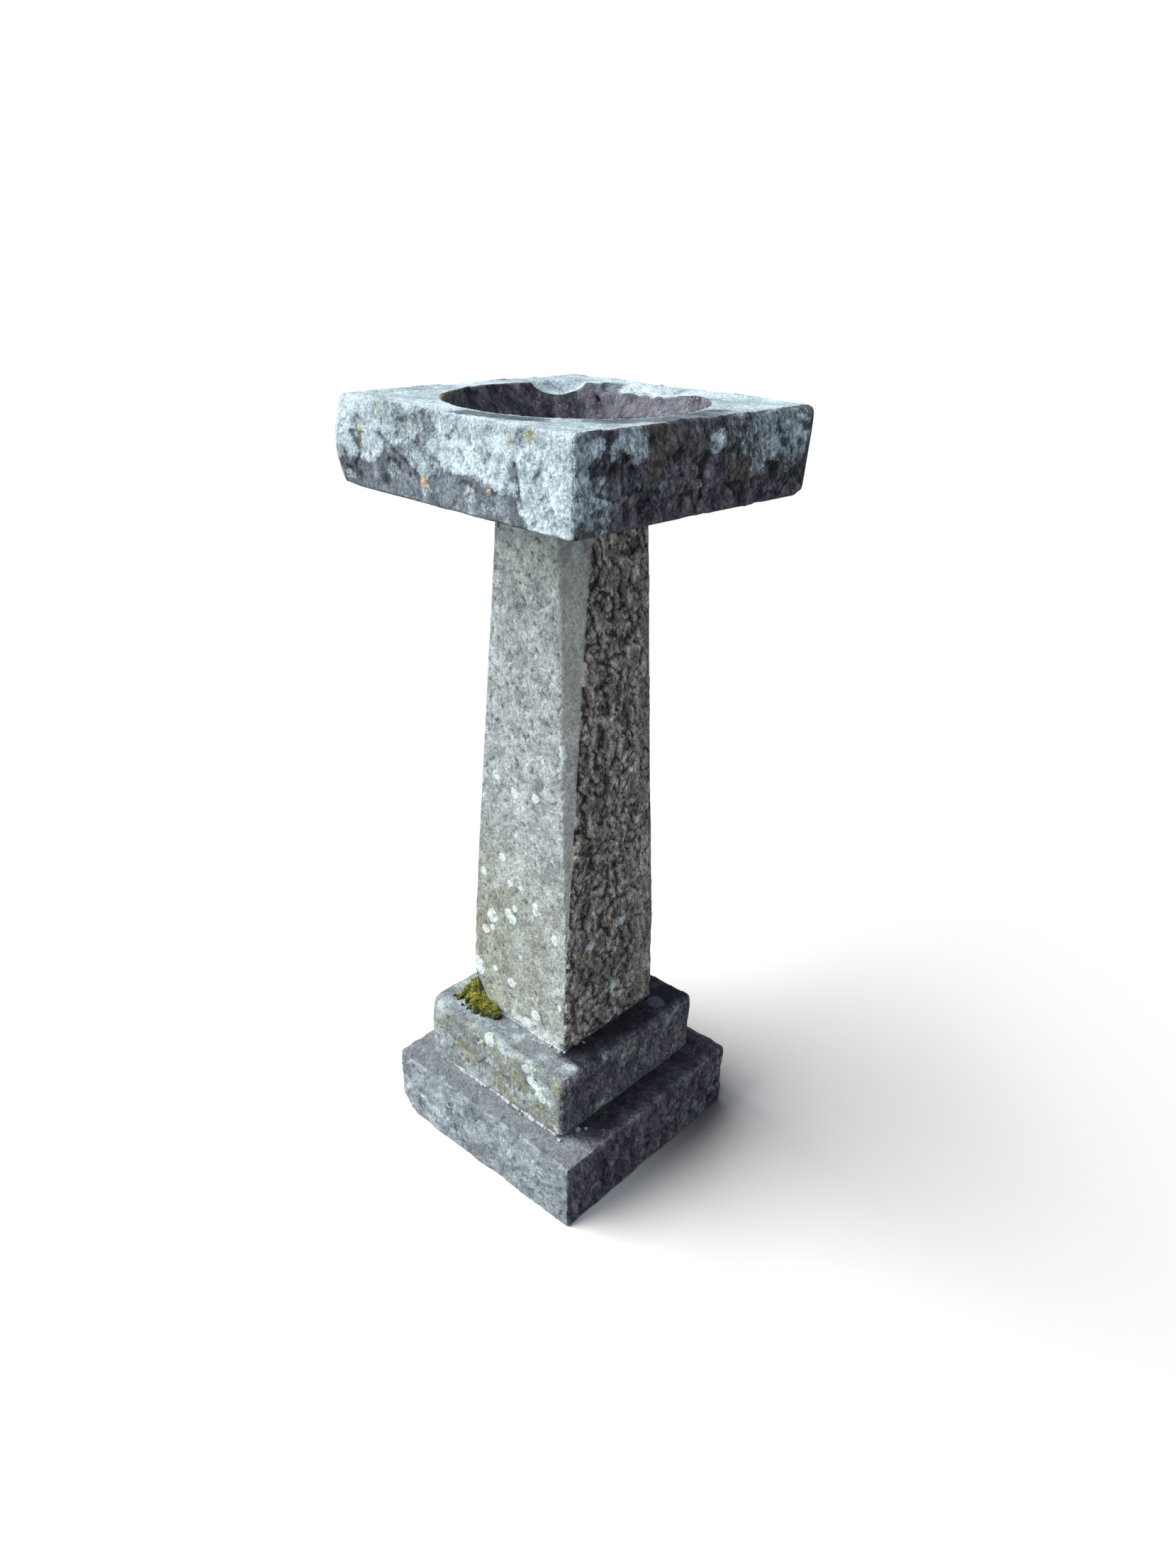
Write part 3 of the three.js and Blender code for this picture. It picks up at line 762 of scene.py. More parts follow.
class BasinFaces(Faces):
    """The basin's points, with its larger wear already taken off them. u and w run from -1 to
    1 along X and Y, and v from 0 to 1 up. polar is the angle in degrees about the bowl's
    middle, away the distance from it, and beyond the distance outside the rim."""

    def __init__(self, stone):
        super().__init__(stone, basin_sheet(stone))
        x, y, z, height = self.x, self.y, self.z, stone.height
        self.u, self.w, self.v = x / stone.half[0], y / stone.half[1], z / height
        self.side, self.top, self.bowl = (self.part(name) for name in ("side", "top", "bowl"))

        # the (+X +Y) corner is drawn out, so the stone is not quite square, and worn at its ends
        worn_ends = 0.75 * np.exp((z - height) / 4) + 0.35 * np.exp(-z / 4)
        drawn = 7.5 * step((self.u + self.w) / 2, 0.25, 1.0) * (1 - worn_ends)
        self.base[..., :2] += drawn[..., None]
        self.away = np.hypot(x - BOWL["centre"][0], y - BOWL["centre"][1])
        self.polar = np.degrees(np.arctan2(y - BOWL["centre"][1], x - BOWL["centre"][0]))
        self.beyond = self.away - rim_radius(np.radians(self.polar))
        self.sunk = self.wear_rim()
        self.normals = normals_of(self.base)
        self.pecks = step(noise(self.base @ SLANT, 6.5, 26, (1, 1, 1.8)), 0.3, 0.7)

    def wear_rim(self):
        """Wears a notch through the rim at the back corner, spalls the rim beside it, and
        gives where the surface has sunk."""
        z, base, height = self.z, self.base, self.stone.height
        bite = (self.polar - 143.5) / 13 + 0.12 * noise(base, 16, 41)
        notch = 14.5 * np.clip(1 - bite**2, 0, 1) ** 0.8 * (1 - step(self.beyond, 4, 30))
        slope = (1 - step(self.beyond, -4, 32)) * (1 + 0.25 * noise(base, 14, 43))
        from_side = step(self.polar + 3 * noise(base, 25, 42), 60, 96)
        worn = 11 * slope * from_side * (1 - step(self.polar, 121, 124.5))
        lowered = np.minimum(z, height - np.maximum(notch, worn))
        sunk = step(z - lowered, 0.2, 2.0) * (z > height / 2)
        base[..., 2] = np.where(z > height / 2, lowered, z)
        return sunk

    def front_relief(self, slabs, chips):
        """Pecked, with a flake lower than the rest along a slanting scarp, and a groove."""
        u, v, base = self.u, self.v, self.base
        scarp = step(v - 0.30 + (u + 0.22) * 0.95 + 0.02 * noise(base, 12, 44), -0.015, 0.015)
        scarp = (1 - scarp) * step(u, -0.66, -0.58) * (1 - step(u, -0.26, -0.18))
        from_groove = (u - 0.56 - 0.115 * (0.66 - v)) * self.stone.half[0]
        groove = bell(from_groove, 0, 2.2) * step(v, 0.1, 0.25) * (1 - step(v, 0.6, 0.72))
        relief = 1.1 * slabs + 0.45 * chips + 1.1 * fractal(base, 28, 27, 3) - 0.7 * self.pecks
        return relief - 2.0 * scarp - 1.6 * groove

    def cleft_relief(self, slabs, chips):
        """Split rather than cut, with a ledge low down, a shelf at one end and a crack."""
        w, v, base = self.w, self.v, self.base
        relief = 2.9 * slabs + 1.0 * chips + 1.2 * fractal(base, 24, 28, 3, (1, 1, 2.2))
        ledge = step(v - 0.29 - 0.06 * noise(base, 30, 29), -0.02, 0.03)
        shelf = step(w - 0.3 * v, -0.97, -0.93) * (1 - step(v, 0.6, 0.75))
        crack = np.abs(w - 0.66 - 0.6 * v) * self.stone.half[1] / 2.5 + 0.4 * noise(base, 10, 30)
        crack = (1 - step(crack, 0.3, 1.3)) * (1 - step(v, 0.28, 0.36))
        return relief + 1.6 * ledge - 1.8 * shelf - 2.5 * crack

    def relief(self):
        base, side, top, bowl, edge = self.base, self.side, self.top, self.bowl, self.edge
        slabs, _ = facets(bent(base, 9, 40, 22), 44, 23, (1, 1, 0.8))
        chips, _ = facets(bent(base, 3, 12, 24), 13, 25, (1, 1, 1.5))
        cleft = self.cleft_relief(slabs, chips)
        front = self.front_relief(slabs, chips)
        sides = self.front * front + (self.right + 0.9 * self.back) * cleft
        sides = sides + self.left * (0.6 * cleft + 0.3 * chips)
        top_relief = 0.7 * fractal(base, 42, 31, 3, (1.5, 1.5, 1)) - 0.4 * self.pecks
        bowl_relief = 0.9 * fractal(base, 46, 32, 3) + 0.5 * chips - 0.5 * self.pecks
        relief = levelled(sides, side, edge) * side + top * top_relief + bowl * bowl_relief
        chipped = np.exp(-edge / 6) * step(fractal(base, 24, 33, 2), 0.1, 0.8)
        relief = relief - side * 1.6 * chipped - top * 1.4 * chipped

        # the (-X -Y) corner swells below its top, and the (+X +Y) corner leans in downwards
        front_left = step((-self.u - self.w) / 2, 0.88, 1.0) * side
        back_right = step((self.u + self.w) / 2, 0.93, 0.99)
        relief = relief * (1 - 0.9 * back_right)
        swell = 11 * np.sin(math.pi * np.clip(self.v, 0, 1)) ** 0.8 - 2.5
        relief = relief + front_left * swell
        relief = relief - back_right * side * 6 * (1 - self.v)

        # a pit in the bowl's wall below the notch, and a calm place for the drain
        drop = self.z - self.stone.height + 18
        pit = np.hypot((self.polar - 124) * 2.8 / 2.6 - drop / 5, drop / 4)
        relief = relief - bowl * 3.5 * (1 - step(pit, 0.5, 1.4))
        return relief * (step(self.away, 36, 60) * bowl + side + top)

    def towards(self, bearing):
        """From -1 to 1, how nearly each point lies at a bearing in degrees from the bowl's
        middle."""
        return np.cos(np.radians(self.polar - bearing))

    def crust(self, streak, shoulder, right_crust):
        """How thick the lichen is: on the four sides, the top, and where the rim has sunk."""
        crust = self.side * self.front * basin_front_crust(self.u, self.v, self.base)
        shaded = self.right * right_crust + self.back * (0.45 + 0.3 * streak)
        crust = crust + self.side * (shaded + self.left * (0.75 + 0.3 * streak))
        facing_near = step(self.towards(-72), 0.93, 0.99) + step(self.towards(-10), 0.8, 0.95)
        top = 1.0 + 0.4 * streak - 1.3 * bell(self.beyond, 22, 17) * facing_near
        top = top + 0.3 * bell(self.beyond, 5, 5)
        crust = crust + self.top * top * (1 - 0.8 * shoulder * self.sunk)
        sunk = self.bowl * self.sunk * (0.95 - 0.8 * shoulder + 0.2 * streak)
        return crust + sunk * step(self.beyond, -14, -2)

    def fields(self, relief):
        base, side, bowl, sunk = self.base, self.side, self.bowl, self.sunk
        polar, z, height = self.polar, self.z, self.stone.height
        streak = fractal(base, 44, 57, 3, (1.6, 1.6, 1))
        shoulder = step(polar, 112, 116) * step(126 - polar, 0, 3)
        right_crust, brown = basin_right_growth(self.w, self.v, base)
        # painted shade: the sides turned from the light, and most of the back, go dark, partly with
        # their own darker growth
        lee = step(self.normals[..., 0], 0.15, 0.6) + 0.8 * self.back + 0.2 * self.left
        # painted shadow in the bowl: outside a lit stretch of wall at the back, from about 86 to
        # 134 degrees, the bowl is darkened; below the worn rim it is a little dark all over as well
        shade = step(polar + 0.17 * (height - z), 134, 139) + 1 - step(polar, 58, 86)
        shade_tone = 0.38 + 0.62 * shade + 0.4 * fractal(base, 16, 59, 3, (1, 1, 2.5))
        slimy = bowl * 0.9 * bell(polar, -140, 22) * step(z, height - 16, height)
        washed = step(-self.beyond - 3 * step(self.towards(20), 0.5, 0.9), 1, 4)
        return {
            "cavity": cavity_field(relief, 1.6, np.where(bowl > 0, 50.0, self.edge)),
            "dark": side * np.clip(lee, 0, 1) + bowl * (1 - sunk) * shade_tone,
            "crust": self.crust(streak, shoulder, right_crust),
            "algae": slimy + side * 0.3 * self.right * (1 - step(self.w, -0.9, -0.6)),
            "bare": bowl * np.maximum(1 - sunk, shoulder) * washed,
            "brown": brown * side * self.right + 0.3 * streak * self.back,
            **basin_spots(self.stone, base),
        }


def basin_piece(material):
    """The basin, with its rim's wear, its drawn-out corner and its lichens."""
    face = BasinFaces(Stone("basin"))
    relief = face.relief()
    face.piece("basin_stone", face.raised(relief), face.fields(relief), material)


# ---------------------------------------------------------------- the plinth stones


def plinth_sheet(stone, corners, arrises, spacing, bed_half, straight=150, bend=16):
    """A plinth stone. Rows are close where the top shows and far apart under the next stone."""
    def plan(inset, z):
        rounded = np.maximum(np.array(corners) - inset, 2.0)
        return outline(stone.half - inset, rounded, stone.middle, straight, bend)

    sheet = Sheet()
    foot, top = plan(arrises[0], 0), plan(arrises[1], stone.height)
    sheet.spread("under", at_level(circle_towards(foot, BORE), 0), at_level(foot, 0), 12)
    sheet.lay("side", at_level(foot, 0))
    lay_sides(sheet, plan, stone.height, arrises, spacing)
    inner = plan(stone.half.mean() - bed_half, 0)
    outer, hidden = at_level(top, stone.height), at_level(inner, stone.height)
    bore = at_level(circle_towards(inner, BORE), stone.height)
    sheet.spread("top", outer, hidden, round((stone.half.mean() - bed_half) / spacing))
    sheet.spread("top", hidden, bore, 12)
    sheet.spread("bore", bore, at_level(circle_towards(foot, BORE), 0), 4)
    return sheet


class PlinthFaces(Faces):
    """A plinth stone's points. Its relief is pecked to the front and left, cleft to the right
    and back, and fades out of sight."""

    def __init__(self, stone, sheet, seed, bed_half):
        super().__init__(stone, sheet)
        base, edge = self.base, self.edge
        # the sides turned from the light, for painted shade
        self.lee = np.clip(step(self.normals[..., 0], 0.15, 0.6) + 0.8 * self.back, 0, 1)
        self.side = self.part("side")
        within = np.maximum(np.abs(self.x - stone.middle[0]), np.abs(self.y - stone.middle[1]))
        self.top = self.part("top") * step(within, bed_half - 10, bed_half + 4)
        # the faces turned up, for the painted shadow on the top
        self.up = step(self.normals[..., 2], 0.15, 0.5) * (self.z > stone.height / 2)
        self.near_edge = np.exp(-edge / 5)

        slabs, _ = facets(bent(base, 8, 36, seed + 1), 38, seed + 2)
        chips, _ = facets(bent(base, 3, 12, seed + 3), 12, seed + 4, (1, 1, 1.5))
        pecks = step(noise(base @ SLANT, 6.5, seed + 5, (1, 1, 1.8)), 0.3, 0.7)
        mild = 0.8 * slabs + 0.35 * chips + 0.7 * fractal(base, 30, seed + 6, 3) - 0.6 * pecks
        cleft = 1.3 * slabs + 0.7 * chips + 1.1 * fractal(base, 15, seed + 7, 3, (1, 1, 2.0))
        flat = 0.5 * fractal(base, 40, seed + 8, 3) + 0.25 * chips - 0.3 * pecks
        lit = self.front + 0.8 * self.left
        relief = self.side * (lit * mild + (self.right + self.back) * cleft)
        relief = levelled(relief, self.side, edge) + self.top * flat
        chipped = np.exp(-edge / 8) * step(fractal(base, 30, seed + 9, 2), 0.05, 0.75)
        self.relief = relief - (self.side + self.top) * 1.6 * chipped

    def corner_share(self, low, high, wander=0.0):
        """How far into the (-X -Y) corner each point is, from 0 to 1."""
        return step((-self.x - self.y) / (2 * self.stone.half[0]) + wander, low, high)

    def darkness(self, most, eased, *strips):
        """Painted shade and shadow: the lee sides, turned from the light, are dark, partly with
        their own growth, and the top gets painted shadow, darker still and less so at the arris, on
        the two strips that the stone above shades. Each strip starts over a range of x and a range
        of y."""
        strips = [step(self.x, *over_x) * step(self.y, *over_y) for over_x, over_y in strips]
        shaded = self.up * (most - eased * self.near_edge) * np.maximum(*strips)
        return np.maximum(self.side * self.lee, shaded)

    def points(self, shift=0.0):
        """The finished points: shifted, raised by the relief and none below the underside."""
        grounded = (self.z < 2) & (self.side < 1)
        relief = self.relief * np.where(grounded, 0, 1) * (self.side + self.top)
        points = self.base + shift + self.normals * relief[..., None]
        points[..., 2] = np.maximum(points[..., 2], 0)
        return points


def lower_plinth_piece(material):
    """The lower slab: worn along its lit arrises and at two corners, pitted on its right
    face, and with its (-X -Y) corner drawn in at the foot."""
    stone, bed_half = Stone("lower_plinth"), Stone("upper_plinth").half.mean()
    sheet = plinth_sheet(stone, (13, 5, 9, 10), (4, 4), 2.4, bed_half - 10)
    face = PlinthFaces(stone, sheet, 60, bed_half)
    base, x, y, z = face.base, face.x, face.y, face.z
    side, top, edge = face.side, face.top, face.edge
    outward = (np.abs(x) + np.abs(y)) / (2 * stone.half[0])
    worn_corner = step(outward, 0.86, 1.0) * (x * y > 0)
    face.relief -= side * worn_corner * (1 + 1.5 * noise(base, 26, 71))
    for across, height, size in ((154, 22, 9), (171, 42, 7), (-79, 49, 5)):
        pit = np.hypot((y - across) / size, (z - height) / size) + 0.2 * noise(base, 8, 72)
        face.relief -= side * face.right * 5 * (1 - step(pit, 0.5, 1.2))
    corner = face.corner_share(0.88, 1.0, 0.02 * noise(base, 20, 74))
    drawn = np.zeros_like(base)
    drawn[..., :2] += (10 * corner * (1 - step(z, 0, 36)))[..., None]
    streaks = step(fractal(base, 30, 73, 3, (1.4, 1.4, 1)), 0.2, 0.8)
    sunny = 1 - face.lee
    worn = np.exp(-edge / 13) * step(fractal(base, 36, 75, 3), -0.3, 0.5) * sunny
    face.relief -= 2.2 * worn * (side + top)

    crust = side * (0.33 * face.front + 0.33 * face.left + 0.08 * face.right)
    crust = crust + 0.35 * streaks * side * (face.front + face.left) + top * (0.12 + 0.45 * worn)
    crust = crust - 0.3 * side * np.exp(-edge / 9) * (1 - worn) * sunny
    # painted shadow on the top, in the two strips that the upper stone shades
    shaded = (((126, 138), (-150, -105)), ((0, 60), (136, 146)))
    fields = {
        "cavity": cavity_field(face.relief, 1.6, edge) - 0.3 * face.near_edge * sunny,
        "dark": face.darkness(1.7, 0.7, *shaded),
        "crust": crust,
        "algae": 0.08 * side * face.front,
        "bare": top * (1 - 0.7 * worn),
        "brown": -0.3 * side * face.right - 0.6 * top,
        "spots": spot_field(base, *side_spots(stone, LEFT, random_spots(73, 12, 2, 7))),
    }
    face.piece("lower_plinth_stone", face.points(drawn), fields, material)


# Olive and pale spots on the upper plinth's front, as (across, up, radius), and more pale ones
# along its upper arrises, as points and radii.
UPPER_OLIVE_SPOTS = (
    (-0.5, 0.47, 9), (-0.42, 0.36, 6), (0.44, 0.62, 5), (0.5, 0.5, 6), (0.53, 0.38, 5),
    (-0.15, 0.8, 5),
)
UPPER_PALE_SPOTS = (
    (0.66, 0.64, 11), (0.58, 0.7, 8), (0.84, 0.5, 4), (0.74, 0.52, 7), (0.5, 0.86, 7),
)
UPPER_LOOSE_SPOTS = (((112, 92, 97), (-8, -150, 90), (-14, -144, 94)), (13, 8, 7))


def upper_plinth_piece(material):
    """The upper slab: its worn (-X -Y) corner bulges below the top, and it is green with
    algae and mottled with lichen."""
    stone, bed_half = Stone("upper_plinth"), Stone("shaft").half.mean()
    sheet = plinth_sheet(stone, (29, 7, 9, 10), (5, 10), 2.2, bed_half - 6)
    face = PlinthFaces(stone, sheet, 80, bed_half)
    base, x, y, side, top = face.base, face.x, face.y, face.side, face.top
    shoulder = face.corner_share(0.72, 0.95) * (1 - step(face.z, 60, stone.height))
    face.relief += side * shoulder * 3
    green = step(fractal(base, 40, 91, 3), -0.25, 0.45)
    leftward = step(-x, -70, 110)
    mottled = fractal(base, 32, 92, 3)

    crust = side * face.front * (0.27 + 0.6 * mottled) + side * face.left * (0.4 + 0.3 * mottled)
    crust = crust + side * face.right * (0.14 + 0.35 * mottled + 0.25 * face.near_edge)
    crust = crust + top * (0.26 + 0.3 * leftward + 0.3 * mottled)
    crust = crust + top * 0.7 * np.exp(-(((x - 117) / 15) ** 2) - ((y + 122) / 12) ** 2)
    on_sides = side * (face.front + face.left) * (0.5 + 0.5 * green)
    # painted shadow on the top, in the two strips that the shaft shades
    shaded = (((86, 95), (-116, -98)), ((0, 50), (94, 104)))
    fields = {
        # on the right face the painted highlights on crests are stronger and the painted shade in
        # hollows weaker
        "cavity": cavity_field(face.relief, 1.6, face.edge) + 0.45 * side * face.right,
        "dark": face.darkness(1.9, 0.8, *shaded),
        "crust": crust,
        "algae": on_sides + top * 0.7 * leftward * green,
        "bare": top * (1 - 0.6 * leftward),
        "brown": side * (0.3 * mottled + 0.4 * face.right) - 0.6 * top,
        "olive": spot_field(base, *side_spots(stone, FRONT, UPPER_OLIVE_SPOTS)),
        "spots": spot_field(base, *joined(
            side_spots(stone, FRONT, UPPER_PALE_SPOTS),
            side_spots(stone, LEFT, random_spots(93, 14, 2, 9)),
            side_spots(stone, BACK, random_spots(94, 10, 2, 9)),
            UPPER_LOOSE_SPOTS,
        )),
    }
    face.piece("upper_plinth_stone", face.points(), fields, material)


# ---------------------------------------------------------------- node helpers


class Nodes:
    """A material whose nodes are wired by short calls. Sizes are in millimetres."""

    def __init__(self, name):
        self.material = bpy.data.materials.new(name)
        self.material.use_nodes = True
        self.tree = self.material.node_tree
        self.tree.nodes.clear()
        self.place = self.node("ShaderNodeTexCoord").outputs["Object"]

    def node(self, kind, inputs=None, **settings):
        made = self.tree.nodes.new(kind)
        for key, value in settings.items():
            setattr(made, key, value)
        for key, value in (inputs or {}).items():
            if isinstance(value, bpy.types.NodeSocket):
                self.tree.links.new(value, made.inputs[key])
            else:
                made.inputs[key].default_value = value
        return made

    def field(self, name):
        return self.node("ShaderNodeAttribute", attribute_name=name).outputs["Fac"]

    def math(self, operation, a, b=0.0):
        return self.node("ShaderNodeMath", {0: a, 1: b}, operation=operation).outputs[0]

    def add(self, a, b):
        return self.math("ADD", a, b)

    def times(self, a, b):
        return self.math("MULTIPLY", a, b)

    def spread(self, value, amount):
        """A noise about 0.5 as one about 0, times an amount."""
        return self.times(self.math("SUBTRACT", value, 0.5), amount)

    def grown(self, name, noise, amount, low, high):
        """Where a field kept on the mesh is strong, with a border made ragged by noise."""
        return self.band(self.add(self.field(name), self.spread(noise, amount)), low, high)

    def noise(self, size, detail=3.0, stretch=(1, 1, 1), rough=0.6, shift=0.0, lean=0.0):
        """Noise about 0.5, with lumps of a size in mm, drawn out by stretch and leaned over."""
        scale = [1 / (size * MM * way) for way in stretch]
        inputs = {"Vector": self.place, "Rotation": (-lean, lean, 0)}
        inputs["Location"] = (shift, -shift, 2 * shift)
        place = self.node("ShaderNodeMapping", inputs, vector_type="POINT").outputs[0]
        place = self.node("ShaderNodeVectorMath", {0: place, 1: scale}, operation="MULTIPLY")
        inputs = {"Vector": place.outputs[0], "Scale": 1.0, "Detail": detail, "Roughness": rough}
        return self.node("ShaderNodeTexNoise", inputs).outputs["Fac"]

    def band(self, value, low, high, start=0.0, end=1.0):
        """A smooth change from start to end as a value goes from low to high."""
        inputs = {"Value": value, "From Min": low, "From Max": high, "To Min": start, "To Max": end}
        kind = "ShaderNodeMapRange"
        return self.node(kind, inputs, interpolation_type="SMOOTHSTEP").outputs[0]

    def mix(self, share, a, b, blend="MIX"):
        made = self.node("ShaderNodeMix", data_type="RGBA", blend_type=blend)
        for socket, value in ((0, share), (6, a), (7, b)):
            if isinstance(value, bpy.types.NodeSocket):
                self.tree.links.new(value, made.inputs[socket])
            else:
                made.inputs[socket].default_value = value if socket == 0 else (*value, 1)
        return made.outputs[2]

    def dim(self, colour, amount):
        """A colour times an amount, which may be a colour too."""
        return self.mix(1.0, colour, amount, "MULTIPLY")

    def tint(self, colour, share, strength, other):
        """A colour mixed towards another, by a share times a strength."""
        return self.mix(self.times(share, strength), colour, other)

    def bump(self, height, depth, normal=None):
        inputs = {"Height": height, "Distance": depth * MM, "Strength": 1.0}
        if normal is not None:
            inputs["Normal"] = normal
        return self.node("ShaderNodeBump", inputs).outputs[0]

    def finish(self, colour, rough, normal=None, metal=0.0, extra=None):
        inputs = {"Base Color": colour, "Roughness": rough, "Metallic": metal, **(extra or {})}
        if normal is not None:
            inputs["Normal"] = normal
        shader = self.node("ShaderNodeBsdfPrincipled", inputs)
        self.node("ShaderNodeOutputMaterial", {"Surface": shader.outputs[0]})
        return self.material


# ---------------------------------------------------------------- materials


def overgrown(n, colour, mottle, lichen):
    """A stone's colour with its lichens over it, where the crust is, and where the round spots
    are. The crust is broken by its own fine mottle, so it thins to specks where it is weak."""
    weave = n.spread(n.noise(5.0, 6, rough=0.74, shift=17.0), 1.25)
    drift = n.spread(n.noise(22, 5, rough=0.65, shift=19.0), 1.5)
    grown = n.add(n.field("crust"), n.add(weave, drift))
    crusted = n.band(grown, 0.30, 0.62)
    film = n.mix(n.band(grown, 0.6, 1.4), lichen[0], lichen[1])
    colour = n.tint(colour, crusted, 0.9, film)

    # spots have ragged edges: the fields are distances in mm from them
    ragged = n.noise(7, 4, shift=23.0)
    patch = n.mix(n.band(mottle, 0.3, 0.7), lichen[1], (0.72, 0.84, 0.84))
    inside = n.grown("spots", ragged, 6.0, 1.4, 0.2)
    colour = n.tint(colour, inside, 0.9, patch)
    olive = n.grown("olive", ragged, 6.0, 3.0, -5.0)
    colour = n.tint(colour, olive, 0.55, (0.40, 0.41, 0.17))
    rusty = n.grown("rust", ragged, 6.0, 0.8, -1.5)
    flame = n.mix(n.band(mottle, 0.42, 0.6), (0.62, 0.34, 0.14), (0.80, 0.66, 0.50))
    colour = n.mix(rusty, colour, flame)
    return colour, crusted, inside


def stone_material(name, pale, deep, shade_tone, bare, lichen):
    """Stone with a fine grain and slanting tool strokes. Fields on the mesh say where it takes its
    shade tones, which are partly its own darker growth and partly painted shade on the sides
    turned from the light, with painted shadow where dark passes 1; where it is washed bare,
    crusted with lichen, dotted with round spots, or coloured; and how much painted shade its
    hollows get and painted highlight its crests."""
    n = Nodes(name)
    cavity, dark = n.field("cavity"), n.field("dark")
    grain = n.noise(2.8, 3, rough=0.7)
    lumps = n.noise(38, 5, shift=3.0)
    mottle = n.noise(9, 5, rough=0.72, shift=7.0)
    strokes = n.noise(3.6, 3, (1, 1, 2.4), shift=11.0, lean=0.36)

    colour = n.mix(n.band(lumps, 0.35, 0.65), deep, pale)
    colour = n.mix(n.band(n.field("bare"), 0.1, 0.9), colour, bare)
    # painted shade: where dark is strong, on the sides turned from the light and in the bowl's
    # shadow, the colour goes to the shade tones, which also hold those places' own darker growth
    cast = n.add(dark, n.spread(mottle, 0.5))
    shaded_colour = n.mix(n.band(n.noise(22, 5, (1, 1, 1.8), shift=5.0), 0.35, 0.65), shade_tone[0], shade_tone[1])
    colour = n.mix(n.band(cast, 0.25, 0.75), colour, shaded_colour)
    brown = n.grown("brown", n.noise(15, 4, (1, 1, 2.2), shift=6.0), 1.0, 0.3, 0.9)
    colour = n.tint(colour, brown, 0.75, (0.15, 0.125, 0.10))
    green = n.grown("algae", n.noise(20, 5, rough=0.7, shift=13.0), 1.3, 0.2, 1.0)
    colour = n.tint(colour, green, 0.6, (0.25, 0.255, 0.12))

    colour, crusted, inside = overgrown(n, colour, mottle, lichen)

    # painted shade in the hollows and painted highlights on the crests, from the cavity field
    hollow = n.band(cavity, -1.0, 0.1, 0.25, 1.0)
    crest = n.band(cavity, 0.1, 1.0, 1.0, 1.35)
    pitted = n.band(strokes, 0.32, 0.48, 0.62, 1.0)
    speck = n.band(grain, 0.33, 0.67, 0.76, 1.26)
    cloud = n.band(n.noise(7, 4, rough=0.78, shift=29.0), 0.34, 0.66, 0.8, 1.2)
    billow = n.band(n.noise(26, 4, rough=0.6, shift=41.0), 0.36, 0.64, 0.84, 1.15)
    # painted shadow: where dark runs from 1 to 2, on plinth tops that the stone above shades, the
    # colour is darkened and turned bluish
    lee = n.mix(n.band(dark, 1.0, 2.0), (1, 1, 1), (0.15, 0.135, 0.19))
    calm = n.math("MAXIMUM", n.times(n.field("bare"), 0.25), n.times(inside, 0.6))
    for amount in (pitted, speck, cloud, billow):
        colour = n.dim(colour, n.mix(calm, amount, (1, 1, 1)))
    for amount in (hollow, crest, lee):
        colour = n.dim(colour, amount)

    # the rough faces have a splintery grain, and hairline gaps between the splinters
    rough_face = n.times(n.band(dark, 0.4, 0.8), n.math("SUBTRACT", 1.0, calm))
    splinter = n.noise(5.5, 5, (1, 1, 2.6), rough=0.7, shift=31.0, lean=0.3)
    winding = n.noise(17, 4, (1, 1, 2.0), rough=0.65, shift=37.0, lean=0.3)
    gap = n.band(n.math("ABSOLUTE", n.math("SUBTRACT", winding, 0.5)), 0.0, 0.03, 0.4, 1.0)
    for amount in (n.band(splinter, 0.36, 0.64, 0.68, 1.4), gap):
        colour = n.dim(colour, n.mix(rough_face, (1, 1, 1), amount))

    normal = n.bump(grain, 0.8)
    normal = n.bump(n.times(rough_face, n.add(splinter, gap)), 1.4, normal)
    normal = n.bump(strokes, 2.4, normal)
    normal = n.bump(mottle, 2.2, normal)
    normal = n.bump(n.add(crusted, inside), 0.5, normal)
    rough = n.band(mottle, 0.3, 0.7, 0.82, 0.97)
    return n.finish(colour, rough, normal, extra={"Specular IOR Level": 0.25})


def mortar_material():
    """Crumbly lime mortar: sandy and whitish, dirty in patches, with painted shade on the side
    away from the light."""
    n = Nodes("lime_mortar")
    sand, lumps = n.noise(1.3, 3), n.noise(7, 4, shift=3.0)
    colour = n.mix(n.band(lumps, 0.35, 0.6), (0.34, 0.36, 0.36), (0.56, 0.61, 0.61))
    colour = n.mix(n.band(n.noise(20, 4, shift=9.0), 0.5, 0.75), colour, (0.24, 0.25, 0.26))
    colour = n.dim(colour, n.band(sand, 0.3, 0.7, 0.7, 1.2))
    # painted shade on the side facing +X, away from the light
    normal = n.node("ShaderNodeNewGeometry").outputs["Normal"]
    facing_x = n.node("ShaderNodeSeparateXYZ", {0: normal}).outputs["X"]
    colour = n.dim(colour, n.band(facing_x, 0.1, 0.6, 1.0, 0.3))
    normal = n.bump(lumps, 1.2, n.bump(sand, 0.6))
    return n.finish(colour, n.band(lumps, 0.3, 0.7, 0.85, 0.98), normal)


def iron_material():
    """Wrought iron, rusted brown all over."""
    n = Nodes("dowel_iron")
    scale, grain = n.noise(4, 5, rough=0.7), n.noise(1.0, 3, shift=5.0)
    colour = n.mix(n.band(scale, 0.35, 0.6), (0.045, 0.035, 0.03), (0.26, 0.10, 0.035))
    colour = n.dim(colour, n.band(grain, 0.3, 0.7, 0.7, 1.25))
    normal = n.bump(scale, 0.8, n.bump(grain, 0.3))
    metal = n.band(scale, 0.35, 0.55, 0.7, 0.0)
    return n.finish(colour, n.band(scale, 0.3, 0.6, 0.6, 0.92), normal, metal)


